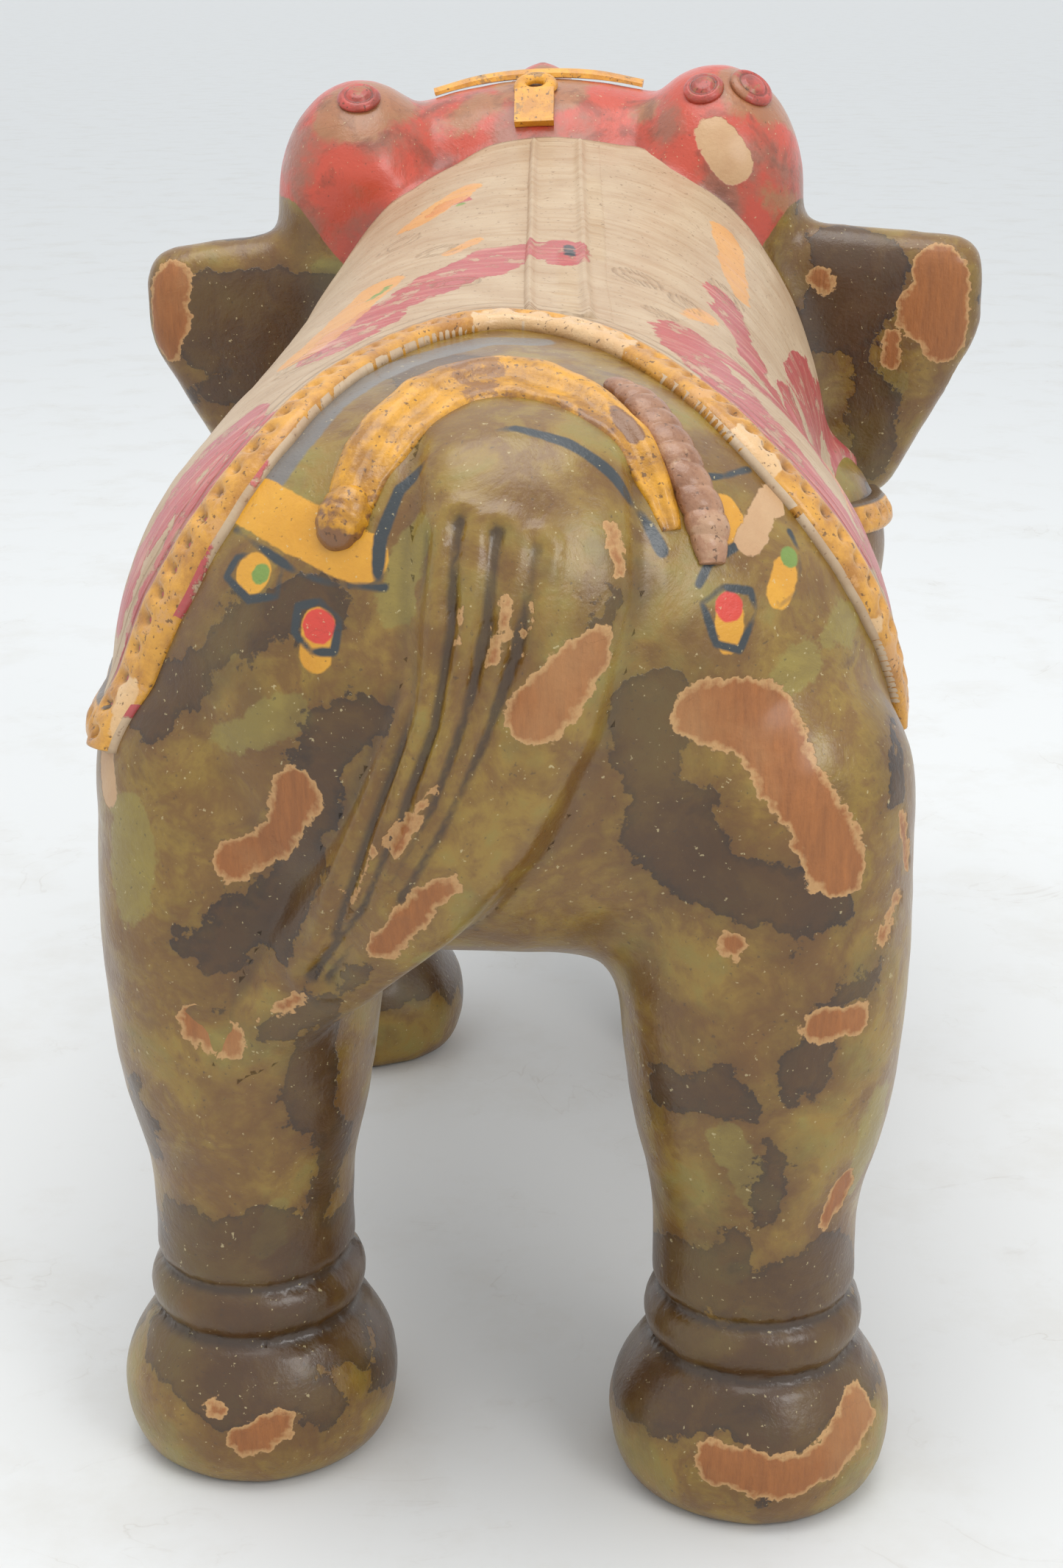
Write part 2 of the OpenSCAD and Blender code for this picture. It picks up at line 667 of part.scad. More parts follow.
torso_block();
leg_rear_left();
leg_rear_right();
leg_front_left();
leg_front_right();
head_block();
neck_dowel();
trunk();
tusk_left();
tusk_right();
ear_left();
ear_right();
ear_dowel_left();
ear_dowel_right();
eye_left();
eye_right();
tail();
tail_pegs();
saddle_cloth();
cloth_border();
spine_band();
crupper_strap();
crupper_rope();
crown_knot();
head_band();
head_rosettes();
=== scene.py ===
# Painted elephant: carved wood under lime gesso, distemper colours and old brown shellac.
# The wooden blocks are blended into one skin, as filler and paint do, and then sawn apart
# again at the joints, so every block stays its own piece. Lengths are millimetres, times mm.
import math
import random

import bmesh
import bpy
import numpy as np
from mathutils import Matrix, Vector, noise
from mathutils.bvhtree import BVHTree


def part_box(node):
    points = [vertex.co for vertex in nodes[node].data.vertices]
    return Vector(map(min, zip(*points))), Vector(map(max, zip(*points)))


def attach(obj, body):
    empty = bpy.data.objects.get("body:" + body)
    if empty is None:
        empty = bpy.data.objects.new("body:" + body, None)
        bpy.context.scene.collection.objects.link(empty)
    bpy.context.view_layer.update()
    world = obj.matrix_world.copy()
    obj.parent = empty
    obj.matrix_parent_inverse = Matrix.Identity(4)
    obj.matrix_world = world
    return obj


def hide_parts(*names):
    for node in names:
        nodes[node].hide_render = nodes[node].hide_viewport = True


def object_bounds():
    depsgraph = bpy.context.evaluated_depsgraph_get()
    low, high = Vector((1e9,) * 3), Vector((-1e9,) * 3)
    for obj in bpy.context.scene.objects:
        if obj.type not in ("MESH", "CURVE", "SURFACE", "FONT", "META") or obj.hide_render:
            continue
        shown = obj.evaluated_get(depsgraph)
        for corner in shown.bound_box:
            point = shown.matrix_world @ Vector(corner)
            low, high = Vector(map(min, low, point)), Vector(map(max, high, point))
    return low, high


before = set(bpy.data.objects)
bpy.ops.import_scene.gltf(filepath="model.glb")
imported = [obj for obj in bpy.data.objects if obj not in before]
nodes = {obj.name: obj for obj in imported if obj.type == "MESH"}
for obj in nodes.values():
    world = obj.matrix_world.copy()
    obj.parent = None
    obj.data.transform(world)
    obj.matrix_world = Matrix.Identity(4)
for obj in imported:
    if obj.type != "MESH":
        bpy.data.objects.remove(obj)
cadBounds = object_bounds()
mm = 0.001

# Everything on the body is placed by how far left of the middle, how far in from the rump
# and how far above the leg seats it lies
tenonLength = 24
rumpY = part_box("torso_block")[1].y / mm
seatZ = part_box("leg_rear_left")[1].z / mm - tenonLength


def at(x, inset, up):
    return Vector((x, rumpY - inset, seatZ + up)) * mm


def paint(code):
    parts = [int(code[k:k + 2], 16) / 255 for k in (1, 3, 5)]
    return tuple(p / 12.92 if p < 0.04045 else ((p + 0.055) / 1.055) ** 2.4 for p in parts) + (1,)


def addNode(tree, kind, inputs={}, output=0, **settings):
    node = tree.nodes.new("ShaderNode" + kind)
    for name, value in settings.items():
        setattr(node, name, value)
    for key, value in inputs.items():
        if isinstance(value, bpy.types.NodeSocket):
            tree.links.new(value, node.inputs[key])
        else:
            node.inputs[key].default_value = value
    return node.outputs[output]


def linkPiece(name, mesh, material, slot, *replaced):
    piece = bpy.data.objects.new(name, mesh)
    bpy.context.scene.collection.objects.link(piece)
    mesh.materials.clear()
    mesh.materials.append(material)
    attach(piece, "root")
    if replaced:
        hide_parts(*replaced)
    return piece


def closePiece(name, bm, material, slot, *replaced):
    bmesh.ops.recalc_face_normals(bm, faces=bm.faces)
    mesh = bpy.data.meshes.new(name)
    bm.to_mesh(mesh)
    bm.free()
    mesh.shade_smooth()
    return linkPiece(name, mesh, material, slot, *replaced)


# How far in mm each place lies from a line of points
def gapTo(places, line):
    best = np.full(len(places), 1e3)
    for a, b in zip(line[:-1], line[1:]):
        along = b - a
        share = np.clip((places - a) @ along / max(along @ along, 1e-9), 0, 1)
        best = np.minimum(best, np.linalg.norm(places - a - share[:, None] * along, axis=1))
    return best


# Distance in mm that each place lies inside the nearest stroke; outside it is negative.
# A stroke is its radius and its stops, and a stop may carry its own radius.
def insideStrokes(places, strokes):
    best = np.full(len(places), -9.0)
    for radius, *stops in strokes:
        line = [(np.array(at(*stop[:3])) / mm, stop[3] if len(stop) > 3 else radius) for stop in stops]
        if len(line) == 1:
            line = line * 2
        for (a, wideA), (b, wideB) in zip(line[:-1], line[1:]):
            along = b - a
            share = np.clip((places - a) @ along / max(along @ along, 1e-9), 0, 1)
            gap = np.linalg.norm(places - a - share[:, None] * along, axis=1)
            best = np.maximum(best, wideA + (wideB - wideA) * share - gap)
    return best


def relax(points, edges, weights, rounds):
    count = len(points)
    ends = np.concatenate([edges[:, 0], edges[:, 1]])
    others = np.concatenate([edges[:, 1], edges[:, 0]])
    degree = np.bincount(ends, minlength=count)[:, None]
    for _ in range(rounds):
        sums = [np.bincount(ends, weights=points[others, axis], minlength=count) for axis in range(3)]
        points = points + 0.5 * weights[:, None] * (np.stack(sums, 1) / degree - points)
    return points


def noiseAt(points, size, shift=0.0):
    return np.array([noise.noise(Vector(p) / size + Vector((shift, 0, 0))) for p in points])


def smoothRise(x, low, high):
    t = np.clip((x - low) / (high - low), 0, 1)
    return t * t * (3 - 2 * t)


def setField(mesh, name, values):
    layer = mesh.attributes.get(name) or mesh.attributes.new(name, "FLOAT", "POINT")
    layer.data.foreach_set("value", np.asarray(values, np.float32))


def placesOf(mesh):
    flat = np.empty(len(mesh.vertices) * 3)
    mesh.vertices.foreach_get("co", flat)
    return flat.reshape(-1, 3) / mm


# Where the colours lie: strokes of a radius and its places, in mm (see insideStrokes)

# Wood laid bare where gesso and paint have flaked off
bareStrokes = [
    (2.9, (23, 5, 27), (27, 8, 20), (32, 9, 17)),
    (2.9, (-13, 0, 47), (-9, -2, 43), (-6, -3, 39)),
    (4.2, (-26, 6, 38), (-33, 9, 37), (-36, 6, 31), (-40, 5, 26), (-43, 6, 19)),
    (2.0, (-30, 4, 9)),
    (2.2, (-41, 5, -2), (-46, 8, -2)),
    (1.5, (-49, 10, 8), (-51, 13, 12)),
    (1.7, (-43, 12, -33), (-46, 12, -27)),
    (1.7, (4, -2, 18), (8, -1, 15), (12, 1, 9)),
    (2.7, (38, 9, -6), (34, 9, -8)),
    (0.8, (-15, 6, 60), (-16, 4, 56)),
    (1.8, (38, 10, -63)),
    (2.3, (34, 9, -67), (29, 10, -65)),
    (3.7, (-30, 4, -65), (-38, 4, -67), (-45, 7, -66), (-49, 12, -61)),
    (4.3, (71, 170, 67), (73, 171, 57)),
    (5.0, (-68, 170, 70), (-70, 170, 59), (-65, 171, 63)),
    (0.9, (-51, 14, 23), (-52, 16, 16)),
    (1.0, (-1, -2, 47), (-3, -1, 53)),
    (0.9, (6, -2, 30), (11, -1, 23)),
    (0.8, (17, 25, -15)),
    (0.7, (8, 0, 46), (9, -1, 38)),
    (0.6, (3, -1, 52), (5, -2, 45)),
    (0.8, (14, -1, 22), (17, 1, 15)),
    (0.7, (-6, 0, 53), (-4, -2, 47)),
    (0.9, (24, 6, 0), (29, 9, -4)),
    (0.6, (12, -1, 33), (13, -1, 28)),
]
# Gesso that shows cream where only the paint has gone
chalkStrokes = [
    (2.4, (50, 19, 31), (49, 17, 23)),
    (2.0, (-34, 21, 60), (-35, 24, 63), (-31, 15, 57)),
    (3.8, (-27, 170, 93), (-31, 165, 89)),
    (1.6, (-37, 164, 86)),
]
# Pools of dark shellac with ragged edges
umberStrokes = [
    (3.4, (42, 14, 34), (36, 12, 41), (29, 9, 47), (21, 6, 50)),
    (4.0, (43, 17, -40), (35, 14, -43)),
    (3.6, (22, 12, -8), (23, 14, -20), (21, 18, -30)),
    (3.2, (45, 18, -12), (47, 20, -26)),
    (4.2, (22, 19, -27), (25, 18, -39)),
    (4.0, (16, 4, 36), (21, 5, 28), (26, 7, 12), (35, 9, 3)),
    (4.5, (44, 18, -56), (32, 13, -56), (20, 20, -58)),
    (3.7, (35, 11, -59), (24, 13, -62)),
    (4.1, (-23, 9, -13), (-29, 5, -11)),
    (2.7, (-48, 9, 3), (-42, 5, 0), (-39, 5, -8)),
    (2.0, (-37, 6, -21), (-35, 8, -31), (-28, 11, -41)),
    (3.5, (-23, 14, -51), (-32, 9, -50), (-42, 11, -49)),
    (2.9, (-25, 10, -58), (-34, 7, -57)),
    (4.7, (-21, 5, 39), (-21, 5, 31), (-20, 5, 23), (-26, 6, 18), (-40, 5, 14)),
    (1.5, (-17, 3, 53), (-14, 1, 50)),
    (2.1, (-49, 18, 34), (-50, 14, 27)),
    (2.0, (30, 8, -7), (22, 6, -3), (16, 3, 4)),
    (4.3, (54, 172, 52), (64, 172, 47)),
    (2.9, (63, 171, 66), (59, 171, 59)),
    (4.0, (-54, 172, 60), (-56, 172, 48), (-58, 173, 37)),
]
paleStrokes = [
    (2.5, (-32, 10, -39)),
    (1.8, (-30, 6, -18), (-34, 7, -27)),
    (2.6, (-47, 14, -27), (-49, 13, -15)),
    (3.4, (46, 13, 9), (46, 13, 20)),
    (2.8, (31, 8, 33), (23, 5, 38)),
    (1.7, (31, 15, -41), (29, 15, -35)),
    (1.0, (3, 13, 4), (8, 2, 6)),
    (2.5, (-35, 12, 41), (-43, 21, 45)),
    (2.8, (9, 5, 60), (10, 4, 52)),
    (2.8, (-59, 172, 51)),
]
# Yellow lappets either side of the crupper, and the drops below them
goldStrokes = [
    (3.4, (29.5, 17, 60.5), (24, 12, 59), (18.5, 8, 57.5), (15, 6, 56.5)),
    (2.2, (-27, 17, 60), (-29, 15, 58)),
    (2.6, (28.5, 11, 53)),
    (2.1, (20, 6, 48), (20.5, 5, 44.5)),
    (2.0, (-28.5, 10, 49), (-29, 8, 46.5)),
    (2.1, (-35.5, 16, 53), (-35, 13.5, 51)),
]
leafStrokes = [(1.3, (27.5, 10.5, 53)), (1.5, (-36, 17.5, 54.5))]
scarletStrokes = [(2.1, (20, 5.5, 48)), (1.9, (-28.5, 10, 50))]
inkStrokes = [
    (0.6, (31, 16, 57), (27, 12, 55.5), (23, 8, 54), (18, 6, 53), (12, 5, 53)),
    (0.6, (-25, 18, 64), (-28, 20, 64), (-31, 24, 64)),
    (0.6, (-25, 9, 53), (-26, 11, 55), (-30, 14, 57)),
    (0.55, (32, 13, 52), (31, 13, 54.5), (28, 11, 56), (25, 9, 54), (25.5, 8, 51), (29, 10, 50),
     (32, 13, 52)),
    (0.55, (23, 6, 47), (22.5, 7, 50), (20, 6, 51), (17.5, 5, 49), (18, 5, 45), (21, 5, 45), (23, 6, 47)),
    (0.55, (-25.5, 8, 51), (-28, 10, 52.5), (-31, 12, 51.5), (-31.5, 12, 49), (-30, 9, 45), (-27, 8, 46),
     (-25.5, 8, 51)),
    (0.55, (-36, 20, 57), (-37.5, 19, 55), (-37.5, 16, 51), (-35, 13, 49.5), (-33.5, 13, 53)),
    (0.9, (13, 5, 54), (12.6, 7.5, 58.5), (10.4, 10.5, 63.3), (7.2, 11.4, 66), (2.6, 12.6, 68.6),
     (-3, 13.4, 69.9),
     (-9, 12, 69), (-14, 10.5, 66), (-18, 10, 62), (-20.5, 9, 57)),
]
# Red worn down to brown on the domes and the forehead
rubbedStrokes = [
    (6.5, (38, 172, 98), (32, 178, 98)),
    (7.0, (-34, 175, 101), (-38, 182, 98)),
    (8.5, (4, 186, 100), (4, 196, 96)),
    (3.5, (-38, 166, 84), (-42, 172, 80)),
    (4.0, (14, 180, 99), (20, 176, 96)),
    (3.0, (-14, 178, 98)),
]
# Slate band between the border and the crupper
slateStrokes = [(2.6, (28, 17, 63), (24, 22, 67), (19, 31, 71), (12, 43, 74), (4, 51, 75), (-3, 52, 75))]


# Chips and flakes, strewn by a seed, for the sides that the lists above leave bare
def strayStrokes(count, seed, sizes, places):
    chance = random.Random(seed)
    strokes = []
    while len(strokes) < count:
        p = places[chance.randrange(len(places))]
        inset, up = rumpY - p[1], p[2] - seatZ
        if inset < 38 or (inset > 160 and up > 70):
            continue
        turn = chance.uniform(0, math.tau)
        reach = chance.uniform(1, 7)
        radius = chance.uniform(*sizes)
        end = (p[0], inset + reach * math.cos(turn), up + reach * math.sin(turn))
        strokes.append((radius, (p[0], inset, up), end))
    return strokes


body = {
    "voxel": 0.9,
    "softRounds": 44,      # smoothing that turns the blocks' facets and joints into one skin
    "chipDepth": 0.3,
    "waves": (0.35, 17),   # height and size of the carver's unevenness
    "tooling": (0.1, 4.5),
}
blockNames = ["torso_block", "leg_rear_left", "leg_rear_right", "leg_front_left", "leg_front_right",
              "head_block", "ear_left", "ear_right", "trunk", "tail"]
legNames = blockNames[1:5]
ankle = {"rings": (21, 28.5), "depth": 1.0, "width": 0.95, "bead": 0.45}
# Fluting of the tail's hair
tailFlutes = [
    (0, (7.5, 3, 60), (9, 0, 50), (9, -1, 40), (12, 0, 30), (16, 1, 18), (19, 3, 9)),
    (0, (3, 4, 61), (4, -1, 50), (6, -2, 38), (10, -1, 26), (15, 1, 14), (22, 5, 3)),
    (0, (-1.5, 3, 60), (-0.5, -1, 50), (2, -3, 40), (6, -2, 28), (11, 0, 18), (20, 5, 3)),
    (0, (-6, 3, 58), (-4, -2, 47), (0, -3, 36), (5, -2, 25), (10, 0, 16)),
]
tailZone = [(0, (-4, 24, 68, 11), (-4, 13, 65, 13.5), (-5, 5, 54, 13.5), (-3, 2, 40, 12.5), (3, 2, 27, 12),
                (11, 4.5, 15, 11), (20, 9, 4, 9.5), (28, 11, -5, 6.3), (34, 10, -12, 2))]


def blendBlocks():
    bm = bmesh.new()
    for name in blockNames:
        bm.from_mesh(nodes[name].data)
    bmesh.ops.remove_doubles(bm, verts=bm.verts, dist=1e-6)
    mesh = bpy.data.meshes.new("blank")
    bm.to_mesh(mesh)
    bm.free()
    blank = bpy.data.objects.new("blank", mesh)
    bpy.context.scene.collection.objects.link(blank)
    voxels = blank.modifiers.new("voxels", "REMESH")
    voxels.mode = "VOXEL"
    voxels.voxel_size = body["voxel"] * mm
    skin = bpy.data.meshes.new_from_object(blank.evaluated_get(bpy.context.evaluated_depsgraph_get()))
    bpy.data.objects.remove(blank)
    return skin


def keepOutside(skin):  # drops the bubbles that the bores leave inside
    bm = bmesh.new()
    bm.from_mesh(skin)
    bm.verts.ensure_lookup_table()
    outer = max(bm.verts, key=lambda v: v.co.z)
    found = {outer}
    waiting = [outer]
    while waiting:
        for edge in waiting.pop().link_edges:
            for v in edge.verts:
                if v not in found:
                    found.add(v)
                    waiting.append(v)
    bmesh.ops.delete(bm, geom=[v for v in bm.verts if v not in found], context="VERTS")
    bm.to_mesh(skin)
    bm.free()


def carveSkin(skin):
    points = placesOf(skin)
    edges = np.array([e.vertices[:] for e in skin.edges])
    up = points[:, 2]
    # The turned ankles and feet stay crisp
    weights = 0.22 + 0.78 * smoothRise(up, 36, 48)
    trunkEnd = smoothRise(-points[:, 1], 90, 100)
    weights = np.maximum(weights, trunkEnd)
    points = relax(points, edges, weights, body["softRounds"])
    crotch = np.exp(-((up - seatZ) / 13) ** 2) * (points[:, 1] > -80)
    points = relax(points, edges, crotch, 70)
    skin.vertices.foreach_set("co", (points * mm).ravel())
    skin.update()
    normals = np.array([v.normal[:] for v in skin.vertices])
    lift = body["waves"][0] * noiseAt(points, body["waves"][1])
    lift += body["tooling"][0] * noiseAt(points, body["tooling"][1], 7)
    for name in legNames:
        low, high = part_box(name)
        axis = np.array((low + high) / 2)[:2] / mm
        near = np.linalg.norm(points[:, :2] - axis, axis=1) < 24
        for ring in ankle["rings"]:
            lift -= near * ankle["depth"] * np.exp(-((up - ring) / ankle["width"]) ** 2)
        lift += near * ankle["bead"] * np.exp(-((up - sum(ankle["rings"]) / 2) / 2) ** 2)
    wrinkle = smoothRise(-points[:, 1], 88, 98) * smoothRise(112 - up, 0, 12) * smoothRise(up, 30, 40)
    lift -= 0.35 * wrinkle * (0.5 + 0.5 * np.cos(math.tau * up / 5.5)) ** 3
    flute = -insideStrokes(points, tailFlutes)
    lift -= 1.5 * np.exp(-(flute / 0.95) ** 2) - 0.5 * np.exp(-((flute - 2.2) / 1.1) ** 2)
    zone = insideStrokes(points, tailZone)
    rear = smoothRise(points[:, 1], rumpY - 18, rumpY - 12) * smoothRise(up, seatZ - 14, seatZ)
    lift -= 1.0 * rear * np.exp(-(zone / 1.7) ** 2)
    points = points + normals * lift[:, None]
    # the rump may swell only as far as the blank it is carved from
    brink = cadBounds[1][1] / mm - 2
    over = np.maximum(points[:, 1] - brink, 0)
    points[:, 1] += 1.9 * (1 - np.exp(-over / 1.9)) - over
    points[:, 2] = np.maximum(points[:, 2], 0)
    skin.vertices.foreach_set("co", (points * mm).ravel())
    skin.update()


def paintSkin(skin):
    points = placesOf(skin)
    edges = np.array([e.vertices[:] for e in skin.edges])
    normals = np.array([v.normal[:] for v in skin.vertices])
    layer = skin.attributes.new("coatNormal", "FLOAT_VECTOR", "POINT")
    layer.data.foreach_set("vector", normals.astype(np.float32).ravel())
    ones = np.ones(len(points))
    # how deep each place lies in a hollow; the finish darkens it there, as grime and as painted shade
    hollow = ((relax(points, edges, ones, 10) - points) * normals).sum(1)
    setField(skin, "hollow", hollow)


def fillFields(skin):
    points = placesOf(skin)
    stray = strayStrokes(46, 4, (1.0, 4.2), points)
    strayPale = strayStrokes(24, 9, (2.0, 5.0), points)
    inset = rumpY - points[:, 1]
    up = points[:, 2] - seatZ
    ankles = 8 - 0.8 * np.abs(points[:, 2] - 24) + 12 * noiseAt(points, 15, 11)
    pools = 26 * (noiseAt(points, 21, 3) - 0.16) - 20 * (1 - smoothRise(inset, 25, 45))
    fields = {
        "bare": insideStrokes(points, bareStrokes + stray),
        "chalk": insideStrokes(points, chalkStrokes),
        "umber": np.maximum.reduce([insideStrokes(points, umberStrokes), pools, np.clip(ankles, -9, 6)]),
        "pale": insideStrokes(points, paleStrokes + strayPale),
        "gold": insideStrokes(points, goldStrokes),
        "leaf": insideStrokes(points, leafStrokes),
        "scarlet": insideStrokes(points, scarletStrokes),
        "ink": insideStrokes(points, inkStrokes),
        "slate": insideStrokes(points, slateStrokes),
        "rubbed": insideStrokes(points, rubbedStrokes),
    }
    # The red cap covers the domes and comes to a point on the forehead
    cap = np.minimum(up - 70 - 12 * smoothRise(np.abs(points[:, 0] - 3), 34, 46), inset - 158)
    fields["vermilion"] = np.clip(cap, -9, 9)
    # its yellow edging over the brow, and the painted lids
    brow = 9 * (1 - smoothRise(inset, 196, 202))
    fields["gold"] = np.maximum(fields["gold"], 0.9 - np.abs(cap) - brow)
    fields["ink"] = np.maximum(fields["ink"], 0.35 - np.abs(cap + 1.5) - brow)
    for eye in ("eye_left", "eye_right"):
        low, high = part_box(eye)
        gap = np.linalg.norm(points - np.array((low + high) / 2) / mm, axis=1)
        fields["chalk"] = np.maximum(fields["chalk"], 5.0 - gap)
        fields["ink"] = np.maximum(fields["ink"], 0.5 - np.abs(gap - 5.2))
    for name, values in fields.items():
        setField(skin, name, values)
    normals = np.empty(len(points) * 3)
    skin.attributes["coatNormal"].data.foreach_get("vector", normals)
    sunk = body["chipDepth"] * smoothRise(fields["bare"], -0.6, 0.4)
    points = points - normals.reshape(-1, 3) * sunk[:, None]
    points[:, 2] = np.maximum(points[:, 2], 0)
    skin.vertices.foreach_set("co", (points * mm).ravel())
    skin.update()


# Faces near painted lines are divided, so that a line keeps its edge
def refineLines(skin):
    points = placesOf(skin)
    close = insideStrokes(points, inkStrokes) > -1.3
    bm = bmesh.new()
    bm.from_mesh(skin)
    bm.verts.ensure_lookup_table()
    edges = [e for e in bm.edges if close[e.verts[0].index] or close[e.verts[1].index]]
    bmesh.ops.subdivide_edges(bm, edges=edges, cuts=2, use_grid_fill=True)
    bm.to_mesh(skin)
    bm.free()


# Each block: its name, the CAD node and whether a place belongs to it. The planes are the joints.
neckLean = math.radians(18)
planes = {
    "seat": (at(0, 0, 0), Vector((0, 0, -1))),
    "neck": (at(0, 176, 54.6), Vector((0, -math.cos(neckLean), math.sin(neckLean)))),
    "trunk": (at(3.5, 222, 28), Vector((0, -0.34, -0.94))),
    "earLeft": (at(50, 176, 64), Vector((0.97, 0, -0.25))),
    "earRight": (at(-50, 176, 64), Vector((-0.97, 0, -0.25))),
}


def past(place, plane):
    point, normal = planes[plane]
    return (place - point).dot(normal) > 0


def blockOf(place):
    if past(place, "neck"):
        for limb in ("trunk", "earLeft", "earRight"):
            if past(place, limb):
                return limb
        return "head"
    if past(place, "seat"):
        rear = place.y > 0
        left = place.x > 0
        return ("legRear" if rear else "legFront") + ("Left" if left else "Right")
    return "torso"


blocks = {
    "torso": "torso_block", "head": "head_block", "trunk": "trunk", "tail": "tail",
    "earLeft": "ear_left", "earRight": "ear_right",
    "legRearLeft": "leg_rear_left", "legRearRight": "leg_rear_right",
    "legFrontLeft": "leg_front_left", "legFrontRight": "leg_front_right",
}


def sawApart(skin, material):
    bm = bmesh.new()
    bm.from_mesh(skin)
    for plane, (point, normal) in planes.items():
        limb = plane not in ("seat", "neck")
        reach = 3 * mm
        near = [f for f in bm.faces if abs((f.calc_center_median() - point).dot(normal)) < reach
                and (plane == "neck" or past(f.calc_center_median(), "neck") == limb)]
        geometry = set(near)
        for f in near:
            geometry.update(f.edges)
            geometry.update(f.verts)
        bmesh.ops.bisect_plane(bm, geom=list(geometry), plane_co=point, plane_no=normal, dist=1e-7)
    bm.faces.ensure_lookup_table()
    centres = np.array([f.calc_center_median() for f in bm.faces]) / mm
    onTail = insideStrokes(centres, tailZone) > 0
    names = list(blocks)
    owner = bm.faces.layers.int.new("owner")
    for face, tail in zip(bm.faces, onTail):
        name = "tail" if tail and centres[face.index][1] > rumpY - 40 else blockOf(face.calc_center_median())
        face[owner] = names.index(name)
    for index, name in enumerate(names):
        part = bm.copy()
        owner = part.faces.layers.int["owner"]
        bmesh.ops.delete(part, geom=[f for f in part.faces if f[owner] != index], context="FACES")
        for face in part.faces:
            face.smooth = True
        rims = [e for e in part.edges if e.is_boundary]
        caps = bmesh.ops.holes_fill(part, edges=rims, sides=0)["faces"]
        for face in caps:
            face.smooth = False
        bmesh.ops.triangulate(part, faces=caps)
        mesh = bpy.data.meshes.new(name)
        part.to_mesh(mesh)
        part.free()
        mesh.validate(clean_customdata=False)  # a cap can come out doubled
        keepCoatNormals(mesh)
        linkPiece(name + "Wood", mesh, material, "painted_wood", blocks[name])
        print("sawn", name, len(mesh.polygons), "faces")
    bm.free()


# The painted face keeps the whole body's normals, so the joints don't show
def keepCoatNormals(mesh):
    coat = np.empty(len(mesh.vertices) * 3, np.float32)
    mesh.attributes["coatNormal"].data.foreach_get("vector", coat)
    coat = coat.reshape(-1, 3)
    coat /= np.maximum(np.linalg.norm(coat, axis=1), 1e-6)[:, None]
    corners = np.empty(len(mesh.loops), np.int32)
    mesh.loops.foreach_get("vertex_index", corners)
    normals = coat[corners]
    for polygon in mesh.polygons:
        if not polygon.use_smooth:
            normals[polygon.loop_start:polygon.loop_start + polygon.loop_total] = polygon.normal[:]
    mesh.normals_split_custom_set(normals.tolist())
    mesh.attributes.remove(mesh.attributes["coatNormal"])


# A field edge broken up as brittle gesso breaks: coarse bites and fine teeth, in mm
def raggedEdge(tree, field, place, bite=5.0, teeth=0.8, soft=0.25, shift=0.0):
    coarse = addNode(tree, "TexNoise", {"Vector": place, "Scale": 1 / (10 * mm), "Detail": 6.0,
                                        "Roughness": 0.62, "W": shift}, noise_dimensions="4D")
    fine = addNode(tree, "TexNoise", {"Vector": place, "Scale": 1 / (1.2 * mm), "Detail": 2.0})
    bitten = addNode(tree, "Math", {0: coarse, 1: bite * 2, 2: field}, operation="MULTIPLY_ADD")
    toothed = addNode(tree, "Math", {0: fine, 1: teeth * 2, 2: bitten}, operation="MULTIPLY_ADD")
    middle = bite + teeth
    return addNode(tree, "MapRange", {0: toothed, 1: middle - soft / 2,
                                      2: middle + soft / 2}), toothed, middle


def fieldOf(tree, name):
    return addNode(tree, "Attribute", output="Fac", attribute_name=name)


